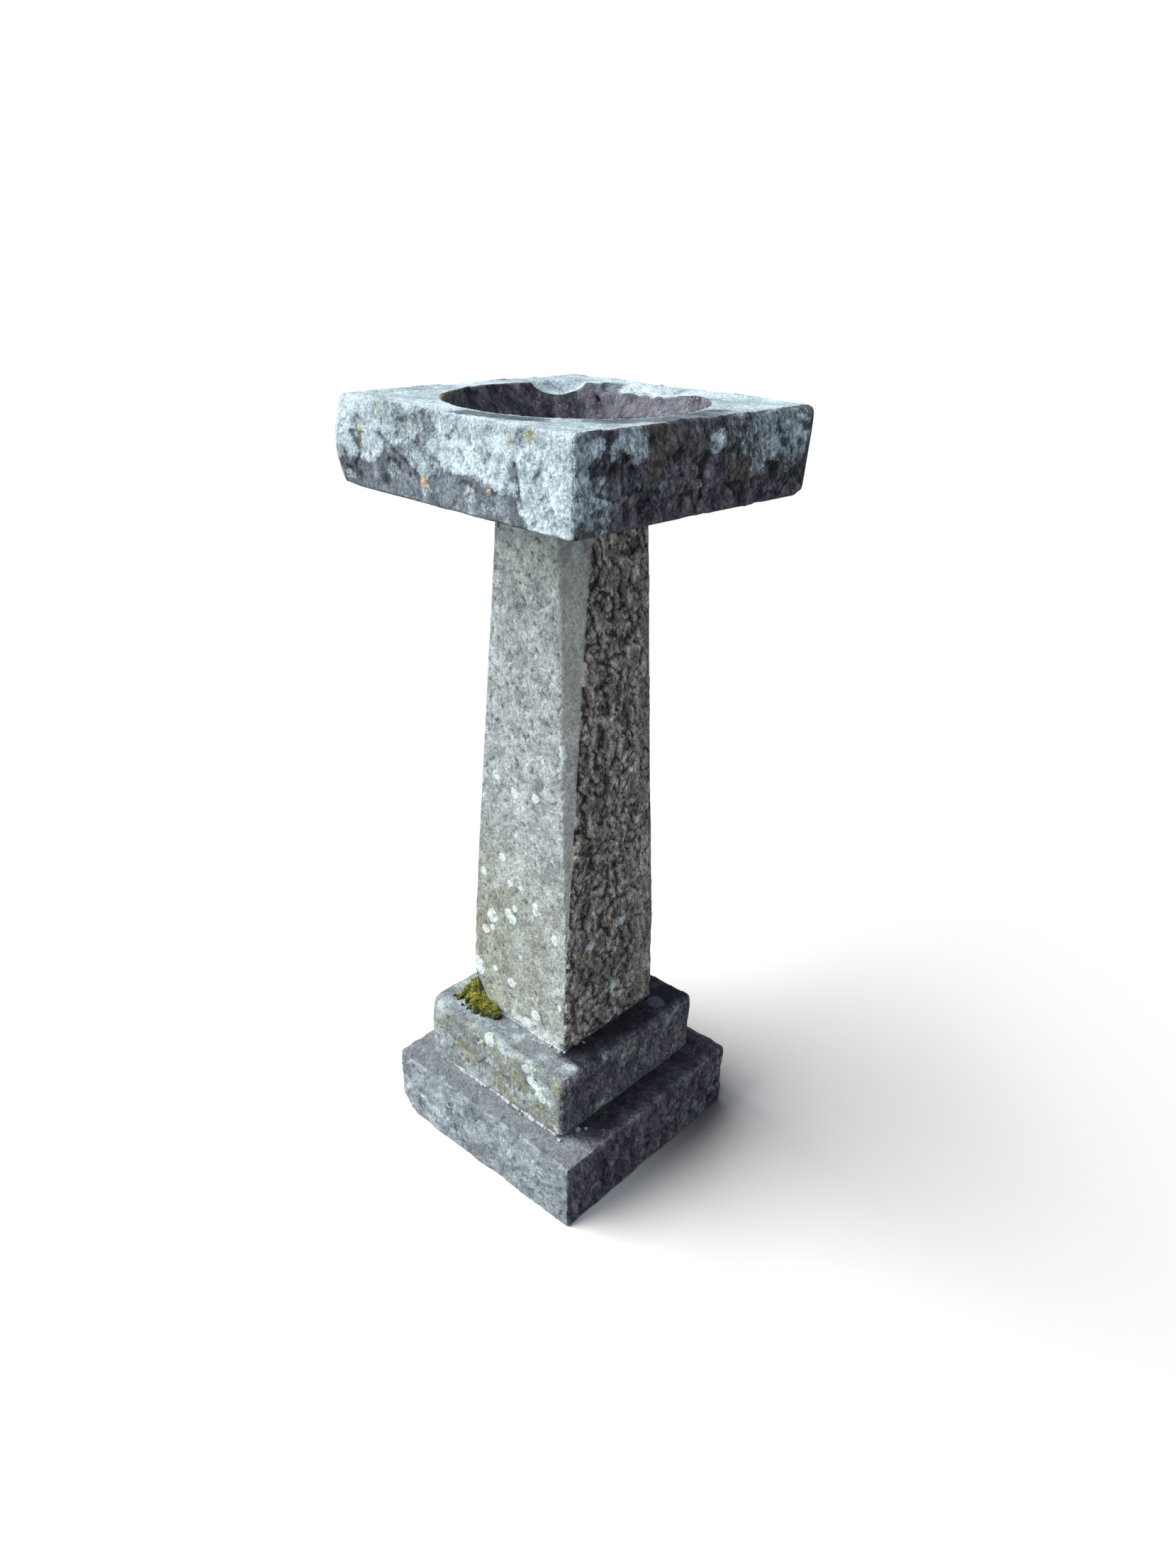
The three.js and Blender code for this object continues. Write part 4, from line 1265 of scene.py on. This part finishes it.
def lead_material():
    """Dull lead with a whitish bloom."""
    n = Nodes("waste_lead")
    bloom, dents = n.noise(6, 5, rough=0.7), n.noise(18, 2, shift=5.0)
    colour = n.mix(n.band(bloom, 0.45, 0.7), (0.17, 0.175, 0.19), (0.48, 0.49, 0.50))
    normal = n.bump(dents, 1.0, n.bump(bloom, 0.2))
    return n.finish(colour, n.band(bloom, 0.35, 0.7, 0.5, 0.85), normal, 0.6)


def bronze_material():
    """Old bronze: brown where it is handled, verdigris where water stands."""
    n = Nodes("bronze")
    patina, grain = n.noise(5, 5, rough=0.7), n.noise(1.2, 3, shift=5.0)
    worn = n.band(n.noise(9, 3, shift=2.0), 0.35, 0.65)
    metal = n.mix(worn, (0.16, 0.095, 0.045), (0.34, 0.22, 0.10))
    green = n.mix(n.band(grain, 0.35, 0.65), (0.10, 0.22, 0.17), (0.26, 0.42, 0.34))
    grown = n.band(patina, 0.50, 0.66)
    colour = n.tint(metal, grown, 0.9, green)
    normal = n.bump(patina, 0.35, n.bump(grain, 0.12))
    rough, shine = n.band(grown, 0.1, 0.9, 0.36, 0.88), n.band(grown, 0.1, 0.8, 0.95, 0.1)
    return n.finish(colour, rough, normal, shine)


def moss_material():
    """Moss, from dark olive in the depths to yellow-green at the tips of its shoots."""
    n = Nodes("moss")
    patches = n.noise(9, 4)
    fresh = n.mix(n.band(patches, 0.35, 0.65), (0.24, 0.27, 0.03), (0.72, 0.78, 0.12))
    tip = n.grown("tip", n.noise(2.5, 3, shift=4.0), 0.9, 0.2, 0.95)
    colour = n.mix(tip, (0.02, 0.022, 0.006), fresh)
    normal = n.bump(n.noise(1.6, 3, shift=8.0), 0.8)
    extra = {"Subsurface Weight": 0.15, "Subsurface Scale": 0.002}
    return n.finish(colour, n.band(patches, 0.3, 0.7, 0.75, 0.95), normal, extra=extra)


# ---------------------------------------------------------------- mortar that shows


def gathered(parts):
    """Several (points, faces) as one."""
    points, faces, count = [], [], 0
    for some_points, some_faces in parts:
        points.append(np.asarray(some_points, float).reshape(-1, 3))
        faces.extend([corner + count for corner in face] for face in some_faces)
        count += len(points[-1])
    return np.concatenate(points), faces


def mesh_piece(name, points, faces, material, node=None, body=FONT):
    """A smooth piece, from points in millimetres in the frame's own axes. It takes its slot's
    name from its material, and stands for a CAD node where one is given."""
    piece = smooth_object(name, np.reshape(points, (-1, 3)) * MM, faces, material, body)
    if node:
        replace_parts(piece, node)
    return piece


def lump(centre, size, seed, detail=2):
    """A closed irregular pebble of (half-width, half-depth, half-height)."""
    ball = bmesh.new()
    bmesh.ops.create_icosphere(ball, subdivisions=detail, radius=1.0)
    points = np.array([vertex.co for vertex in ball.verts])
    faces = [[vertex.index for vertex in face.verts] for face in ball.faces]
    ball.free()
    swell = 1 + 0.35 * noise(points + 10.0 * seed, 0.9, seed)
    return points * swell[:, None] * size + centre, faces


def bead(stone, path, level, thick, seed, sides=8):
    """A ragged bead of mortar pressed out of a joint, round a closed path of plan points. It
    is thin on the right, where the joint is tight."""
    along = np.roll(path, -1, 0) - np.roll(path, 1, 0)
    length = np.linalg.norm(along, axis=1, keepdims=True)
    out = np.column_stack([along[:, 1], -along[:, 0]]) / length
    spots = at_level(path, level)
    coarse, fine = fractal(spots, 22, seed, 2), fractal(spots, 7, seed + 1, 2)
    width = thick * (0.7 + 0.35 * coarse + 0.35 * fine)
    width = np.clip(width * (1 - 0.75 * step(out[:, 0], 0.3, 0.7)), 0.25, 1.5 * thick)
    rows = []
    for turn in np.linspace(0, 2 * math.pi, sides, endpoint=False):
        rough = 1 + 0.25 * noise(spots + 40.0 * turn, 4, seed + 2)
        side = (width * rough * math.cos(turn))[:, None]
        rise = width * rough * math.sin(turn) * 0.8
        rows.append(np.column_stack([path + out * side, spots[:, 2] + rise]))
    return stone.placed(np.stack(rows)) / MM, grid_faces(sides, len(path))


def mortar_pieces(material):
    """The mortar that shows in the three joints: a bead, and crumbs given as (x, y, z, size).
    The beds themselves are the CAD's."""
    upper, shaft = Stone("upper_plinth"), Stone("shaft")
    upper_foot = outline(upper.half - 3, (30, 10, 16, 14), upper.middle, 200, 20)
    shaft_foot = outline(shaft.half - 1.2, (30, 5, 3, 3), shaft.middle, 130, 16)
    head_half = shaft.half * SHAFT_NARROWING - 1
    shaft_head = outline(head_half, np.full(4, CHAMFER_LEG), shaft.middle, 100, 16, True)
    plinth_crumbs = (
        (143, -118, 110, 4.5), (150, -108, 110, 2.6), (138, -152, 110, 2.4), (60, -153, 110, 2.2),
    )
    shaft_crumbs = (
        (88, -101, 211, 2.6), (94, -96, 211, 1.8), (70, -101, 211, 1.7), (99, -60, 211, 2.0),
    )
    for name, crumbs, seed, *where in (
        ("plinth_joint", plinth_crumbs, 110, upper, upper_foot, -2.4, 4.8),
        ("shaft_joint", shaft_crumbs, 120, shaft, shaft_foot, -2.6, 3.4),
        ("basin_joint", (), 130, shaft, shaft_head, shaft.height + 2, 2.2),
    ):
        parts = [bead(*where, seed)]
        for x, y, z, size in crumbs:
            parts.append(lump((x, y, z), (1.5 * size, size, 0.7 * size), seed + round(x)))
        mesh_piece(name, *gathered(parts), material)


# ---------------------------------------------------------------- drain fittings


# Closed profiles of (radius, z) in mm, with z from the bowl's floor up. The plug's starts and
# ends on the axis. The seat's is given with its depth, which is the CAD's.
PLUG_PROFILE = (
    (0, -14), (13.1, -14), (16.0, -0.2), (15.2, 0.7), (9.0, 1.25), (4.6, 1.5), (2.9, 2.6),
    (2.4, 4.4), (0, 4.9),
)
EYE_RISE = 9  # of the eye's middle above the bowl's floor
RING_RADIUS = 13.0
RING_LEAN = math.radians(14)  # how far the resting ring slopes down from the eye


def seat_profile(depth):
    return (
        (10.5, -depth), (12.7, -depth), (12.7, -20), (19, -20), (19, -4), (30, -4), (30, 0),
        (16.3, 0), (13.4, -14), (10.5, -16),
    )


def turned(a, b, angle):
    """Two coordinates turned by an angle, from the first towards minus the second."""
    c, s = math.cos(angle), math.sin(angle)
    return c * a + s * b, c * b - s * a


def rounded(profile, reach, steps=5):
    """A profile of (radius, z) with its corners eased, none by more than `reach`."""
    profile = np.asarray(profile, float)
    eased = []
    for before, corner, after in zip(np.roll(profile, 1, 0), profile, np.roll(profile, -1, 0)):
        ends = []
        for other in (before, after):
            length = np.linalg.norm(other - corner)
            ends.append(corner + (other - corner) * min(reach / length, 0.5))
        for t in np.linspace(0, 1, steps):
            eased.append((1 - t) ** 2 * ends[0] + 2 * t * (1 - t) * corner + t * t * ends[1])
    return np.array(eased)


def lathe(profile, segments=72):
    """A solid of revolution about the drain's axis, from a closed profile clear of the axis."""
    turn = np.linspace(0, 2 * math.pi, segments, endpoint=False)
    radius, z = profile[:, :1], profile[:, 1:]
    points = np.stack([radius * np.cos(turn), radius * np.sin(turn), z + 0 * turn], axis=-1)
    return points, grid_faces(len(profile), segments)


def spindle(profile, segments=72):
    """A solid of revolution from a profile that starts and ends on the axis."""
    points, _ = lathe(profile[1:-1], segments)
    rows = len(profile) - 2
    quads = grid_faces(rows, segments)[: (rows - 1) * segments].tolist()
    first, last = rows * segments, rows * segments + 1
    for k in range(segments):
        after = (k + 1) % segments
        quads.append([first, after, k])
        quads.append([last, (rows - 1) * segments + k, (rows - 1) * segments + after])
    ends = np.array([(0, 0, profile[0][1]), (0, 0, profile[-1][1])])
    return np.concatenate([points.reshape(-1, 3), ends]), quads


def hoop(major, wire, around=72, sides=14):
    """A ring of round wire about the origin, standing in the XZ plane."""
    turn = np.linspace(0, 2 * math.pi, around, endpoint=False)
    rows = []
    for angle in np.linspace(0, 2 * math.pi, sides, endpoint=False):
        reach = major + wire * math.cos(angle)
        depth = np.full(around, wire * math.sin(angle))
        rows.append(np.column_stack([reach * np.cos(turn), depth, reach * np.sin(turn)]))
    return np.stack(rows), grid_faces(sides, around)


def seat_piece(material, floor, depth):
    """The waste's seat, with a shallow dish in its flange."""
    radius, z = rounded(seat_profile(depth), 0.9).T
    dished = z - 0.25 * bell(radius, 23, 3.0) * (z > -0.5)
    solid = lathe(np.column_stack([radius, dished + floor]))
    mesh_piece("waste_seat_fitting", *solid, material, "waste_seat")


def plug_piece(material, floor, eye):
    """The tapered plug, with its eye on top."""
    stopper = rounded(PLUG_PROFILE, 0.8)
    inner = (stopper[:, 0] > 0.05) & (stopper[:, 1] < 4.85)
    stopper = np.concatenate([[(0, -14)], stopper[inner], [(0, 4.6)]]) + (0, floor)
    points, faces = hoop(5.0, 1.8)
    parts = [spindle(stopper), (points + eye, faces)]
    mesh_piece("bronze_plug", *gathered(parts), material, "plug", "plug")


def ring_piece(material, eye):
    """The lifting ring, which hangs in the eye and lies down on one side of it."""
    points, faces = hoop(RING_RADIUS, 1.6)
    x, y, z = np.moveaxis(points, -1, 0)
    flat = turned(x, y, RING_LEAN)
    out, drop = RING_RADIUS * math.cos(RING_LEAN), RING_RADIUS * math.sin(RING_LEAN)
    lying = np.stack([flat[0], z, flat[1]], axis=-1) + (out, 0, eye[2] - drop)
    mesh_piece("lifting_ring", lying, faces, material, "plug_ring", "ring")


def bronze_pieces(material):
    low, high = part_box("waste_seat")
    floor, depth = high.z / MM, (high.z - low.z) / MM
    eye = (0, 0, floor + EYE_RISE)
    seat_piece(material, floor, depth)
    plug_piece(material, floor, eye)
    ring_piece(material, eye)


# ---------------------------------------------------------------- moss


# The middle line of the cushion, as (x, y, half width).
MOSS_PATH = (
    (-102, -62, 17), (-107, -78, 28), (-97, -92, 33), (-79, -101, 27), (-61, -106, 20),
    (-47, -109, 13), (-34, -108, 7),
)
MOSS_SPACING = 1.25
MOSS_LEAVES = 6499
MOSS_SEED = 7


def moss_height(x, y):
    """How high the moss stands over the plinth at a plan point, lumpy as cushions are."""
    path = np.array(MOSS_PATH, float)
    reach = np.full(x.shape, -9.0)
    for start, end in zip(path, path[1:]):
        way = end[:2] - start[:2]
        t = np.clip(((x - start[0]) * way[0] + (y - start[1]) * way[1]) / (way @ way), 0, 1)
        away = np.hypot(x - start[0] - t * way[0], y - start[1] - t * way[1])
        reach = np.maximum(reach, 1 - away / (start[2] + (end[2] - start[2]) * t))
    spots = np.stack([x, y, 0 * x], axis=-1)
    reach = reach + 0.35 * fractal(spots, 11, 140, 2)
    dome, _ = facets(bent(spots, 1.2, 6, 141), 8.5, 142)
    _, groove = facets(spots, 8.5, 142)
    height = 11.5 * step(reach, 0.0, 0.75) * (0.72 + 0.14 * dome + 0.4 * step(groove, 0, 0.5))
    return np.clip(height + 0.8 * noise(spots, 3, 143), 0, 13.5)


def tidy_cells(cells):
    """The cells of a height field without border cells or cells that touch only at a corner."""
    cells = cells.copy()
    cells[[0, -1]] = False
    cells[:, [0, -1]] = False
    for _ in range(8):
        a, b, c, d = cells[:-1, :-1], cells[:-1, 1:], cells[1:, :-1], cells[1:, 1:]
        rising, falling = b & c & ~a & ~d, a & d & ~b & ~c
        if not rising.any() and not falling.any():
            break
        b &= ~rising
        a &= ~falling
    return cells


def moss_cushion(x, y, top, cells, level):
    """The closed skin of the cells of a height field, over a flat underside."""
    upper = np.stack([x, y, level - 1.2 + top], axis=-1).reshape(-1, 3)
    lower = np.stack([x, y, np.full(x.shape, level - 1.4)], axis=-1).reshape(-1, 3)
    index = np.arange(x.size).reshape(x.shape)
    faces, count = [], x.size
    for i, j in np.argwhere(cells):
        corners = [index[i, j], index[i, j + 1], index[i + 1, j + 1], index[i + 1, j]]
        faces.append(corners)
        faces.append([count + corner for corner in corners[::-1]])
        around = ((i - 1, j), (i, j + 1), (i + 1, j), (i, j - 1))
        for side, neighbour in enumerate(around):
            if not cells[neighbour]:
                first, second = corners[side], corners[(side + 1) % 4]
                faces.append([second, first, count + first, count + second])
    points = np.concatenate([upper, lower])
    used = np.unique(np.concatenate(faces))
    renumber = np.zeros(len(points), int)
    renumber[used] = np.arange(len(used))
    return points[used], [renumber[face].tolist() for face in faces]


def leaf(root, way, length, turn):
    """A thin closed blade: a long tetrahedron."""
    side = np.array([math.cos(turn), math.sin(turn), 0.0])
    over = np.cross(way, side)
    points = np.array([
        root - 0.55 * side,
        root + 0.55 * side,
        root + 0.5 * over + 0.45 * length * way,
        root + length * way - 0.25 * over,
    ])
    return points, [[0, 1, 2], [0, 3, 1], [1, 3, 2], [2, 3, 0]]


def moss_leaves(x, y, top, cells, level):
    """Shoots that stand out of the cushion, more of them where it is high."""
    draw = np.random.default_rng(MOSS_SEED)
    leaves = []
    while len(leaves) < MOSS_LEAVES:
        i, j = draw.integers(1, x.shape[0] - 1), draw.integers(1, x.shape[1] - 1)
        if not cells[i, j] or top[i, j] < 2 or draw.random() > top[i, j] / 9:
            continue
        root = np.array([x[i, j], y[i, j], level - 1.6 + top[i, j]]) + draw.uniform(-0.6, 0.6, 3)
        lean = draw.normal(0, 0.55, 2)
        way = np.array([lean[0], lean[1], 1.0]) / math.sqrt(1 + lean @ lean)
        leaves.append(leaf(root, way, draw.uniform(2.6, 6.4), draw.uniform(0, math.pi)))
    return leaves


def moss_piece(material):
    """The cushion and its leaves. The field `tip` runs from the depths up to the leaves' tips."""
    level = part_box("moss_cushion")[0].z / MM
    x, y = np.meshgrid(np.arange(-142, -20, MOSS_SPACING), np.arange(-138, -62, MOSS_SPACING))
    top = moss_height(x, y)
    shown = top > 0.9
    cells = tidy_cells(shown[:-1, :-1] & shown[1:, :-1] & shown[:-1, 1:] & shown[1:, 1:])
    cushion = moss_cushion(x, y, top, cells, level)
    leaves = moss_leaves(x, y, top, cells, level)
    tips = [np.clip((cushion[0][:, 2] - level) / 22, 0, 0.35)]
    tips.extend(np.array([0.1, 0.1, 0.2, 1.1]) for _ in leaves)
    piece = mesh_piece("moss", *gathered([cushion, *leaves]), material, "moss_cushion")
    tip = piece.data.attributes.new("tip", "FLOAT", "POINT")
    tip.data.foreach_set("value", np.concatenate(tips).astype(np.float32))


# ---------------------------------------------------------------- stage


# Lengths of the stage are metres, and angles degrees.
FLOOR_RADIUS, FLOOR_SIDES = 6, 64
SUN_RISE, SUN_SPREAD, SUN_STRENGTH = 36, 60, 5.2
CAMERA_PLACE = (0.955, -1.040, 1.268)
CAMERA_YAW, CAMERA_PITCH, CAMERA_ROLL = 41.35, 25.92, 1.64
CAMERA_LENS, CAMERA_SENSOR = 25.36, 36  # in millimetres


def floor_material():
    """Pale and matt, with painted shadow by the foot and behind it. It fades to white away from
    the font, and is dull grey to all but the camera, so that it throws little light up."""
    n = Nodes("pale_floor")
    seen = n.node("ShaderNodeLightPath").outputs["Is Camera Ray"]
    away = n.node("ShaderNodeVectorMath", {0: n.place}, operation="LENGTH").outputs["Value"]
    # painted shadow: darker where less sky is open over it, and darker still close to the font
    open_sky, close_by = (
        n.node("ShaderNodeAmbientOcclusion", {"Distance": reach}, samples=8).outputs["AO"]
        for reach in (0.35, 0.12)
    )
    apart = n.node("ShaderNodeSeparateXYZ", {0: n.place}).outputs
    # the painted shadow is kept behind the font, on the side away from the light
    behind = n.band(n.add(apart["X"], apart["Y"]), 0.0, 0.35)
    painted_floor_shadow = n.dim((0.80, 0.785, 0.755), n.band(open_sky, 0.5, 1.0, 0.5, 1.0))
    painted_floor_shadow = n.dim(painted_floor_shadow, n.band(close_by, 0.5, 1.0, 0.35, 1.0))
    pale = n.mix(behind, (0.92, 0.91, 0.88), painted_floor_shadow)
    lit = n.node("ShaderNodeBsdfDiffuse", {"Color": pale}).outputs[0]
    white = n.node("ShaderNodeEmission", {"Color": (1, 1, 1, 1), "Strength": 1.0}).outputs[0]
    dull = n.node("ShaderNodeBsdfDiffuse", {"Color": (0.22, 0.22, 0.22, 1)}).outputs[0]
    shown = n.node("ShaderNodeMixShader", {0: n.band(away, 0.5, 1.3), 1: lit, 2: white}).outputs[0]
    both = n.node("ShaderNodeMixShader", {0: seen, 1: dull, 2: shown}).outputs[0]
    n.node("ShaderNodeOutputMaterial", {"Surface": both})
    return n.material


def build_floor():
    turns = np.linspace(0, 2 * math.pi, FLOOR_SIDES, endpoint=False)
    edge = [(FLOOR_RADIUS * math.cos(turn), FLOOR_RADIUS * math.sin(turn), 0) for turn in turns]
    mesh = bpy.data.meshes.new("floor")
    mesh.from_pydata(edge, [], [list(range(FLOOR_SIDES))])
    mesh.materials.append(floor_material())
    added("floor", mesh)


def build_world():
    """A white background to the camera, and a dim bluish sky to all else."""
    world = bpy.data.worlds.new("studio")
    world.use_nodes = True
    tree = world.node_tree
    tree.nodes.clear()
    chosen = tree.nodes.new("ShaderNodeMixShader")
    path = tree.nodes.new("ShaderNodeLightPath")
    tree.links.new(path.outputs["Is Camera Ray"], chosen.inputs[0])
    for place, colour, strength in ((1, (0.82, 0.88, 1.0, 1), 0.5), (2, (1, 1, 1, 1), 1.0)):
        background = tree.nodes.new("ShaderNodeBackground")
        background.inputs["Color"].default_value = colour
        background.inputs["Strength"].default_value = strength
        tree.links.new(background.outputs[0], chosen.inputs[place])
    tree.links.new(chosen.outputs[0], tree.nodes.new("ShaderNodeOutputWorld").inputs[0])
    bpy.context.scene.world = world


def build_sun():
    """Soft daylight from the left and in front."""
    rise = math.radians(SUN_RISE)
    beam = Vector((0.70 * math.cos(rise), 0.71 * math.cos(rise), -math.sin(rise)))
    lamp = bpy.data.lights.new("soft_daylight", "SUN")
    lamp.energy = SUN_STRENGTH
    lamp.angle = math.radians(SUN_SPREAD)
    lamp.color = (1.0, 0.98, 0.95)
    added("soft_daylight", lamp).rotation_euler = beam.to_track_quat("-Z", "Y").to_euler()


def build_camera():
    """The camera at the photo's place and angle."""
    yaw, pitch, roll = (math.radians(turn) for turn in (CAMERA_YAW, CAMERA_PITCH, CAMERA_ROLL))
    level = math.cos(pitch)
    look = Vector((-math.sin(yaw) * level, math.cos(yaw) * level, -math.sin(pitch)))
    side = Vector((math.cos(yaw), math.sin(yaw), 0))
    up = side.cross(look)
    right = math.cos(roll) * side + math.sin(roll) * up
    head = math.cos(roll) * up - math.sin(roll) * side
    data = bpy.data.cameras.new("camera")
    data.lens = CAMERA_LENS
    data.sensor_width = CAMERA_SENSOR
    data.clip_start = 0.05
    camera = added("camera", data)
    rows = zip(right, head, -look, CAMERA_PLACE)
    camera.matrix_world = Matrix((*rows, (0, 0, 0, 1)))
    bpy.context.scene.camera = camera
    bpy.context.scene.view_settings.view_transform = "Standard"


# ---------------------------------------------------------------- putting it together


shaft_stone = stone_material(
    "shaft_stone", pale=(0.48, 0.535, 0.55), deep=(0.34, 0.38, 0.395),
    shade_tone=((0.29, 0.262, 0.225), (0.60, 0.56, 0.505)), bare=(0.47, 0.485, 0.46),
    lichen=((0.50, 0.56, 0.54), (0.66, 0.75, 0.74)),
)
basin_stone = stone_material(
    "basin_stone", pale=(0.22, 0.262, 0.297), deep=(0.11, 0.133, 0.157),
    shade_tone=((0.065, 0.065, 0.09), (0.21, 0.205, 0.22)), bare=(0.19, 0.195, 0.235),
    lichen=((0.43, 0.53, 0.575), (0.66, 0.81, 0.865)),
)
plinth_stone = stone_material(
    "plinth_stone", pale=(0.37, 0.43, 0.47), deep=(0.20, 0.235, 0.265),
    shade_tone=((0.085, 0.085, 0.11), (0.22, 0.22, 0.245)), bare=(0.24, 0.26, 0.285),
    lichen=((0.40, 0.49, 0.51), (0.60, 0.72, 0.73)),
)
mortar = mortar_material()

shaft_piece(shaft_stone)
basin_piece(basin_stone)
lower_plinth_piece(plinth_stone)
upper_plinth_piece(plinth_stone)
mortar_pieces(mortar)
bronze_pieces(bronze_material())
moss_piece(moss_material())

# the hidden pieces whose CAD shape is right as it is take better materials
KEPT = {
    mortar: ("plinth_mortar_bed", "shaft_mortar_bed", "basin_mortar_bed"),
    iron_material(): [f"{bed}_dowel_{end}" for bed in ("plinth", "shaft", "basin") for end in "ab"],
    lead_material(): ("waste_pipe",),
}
for material, nodes in KEPT.items():
    for node in nodes:
        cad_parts[node].material_slots[0].material = material

for build in (build_floor, build_world, build_sun, build_camera):
    build()
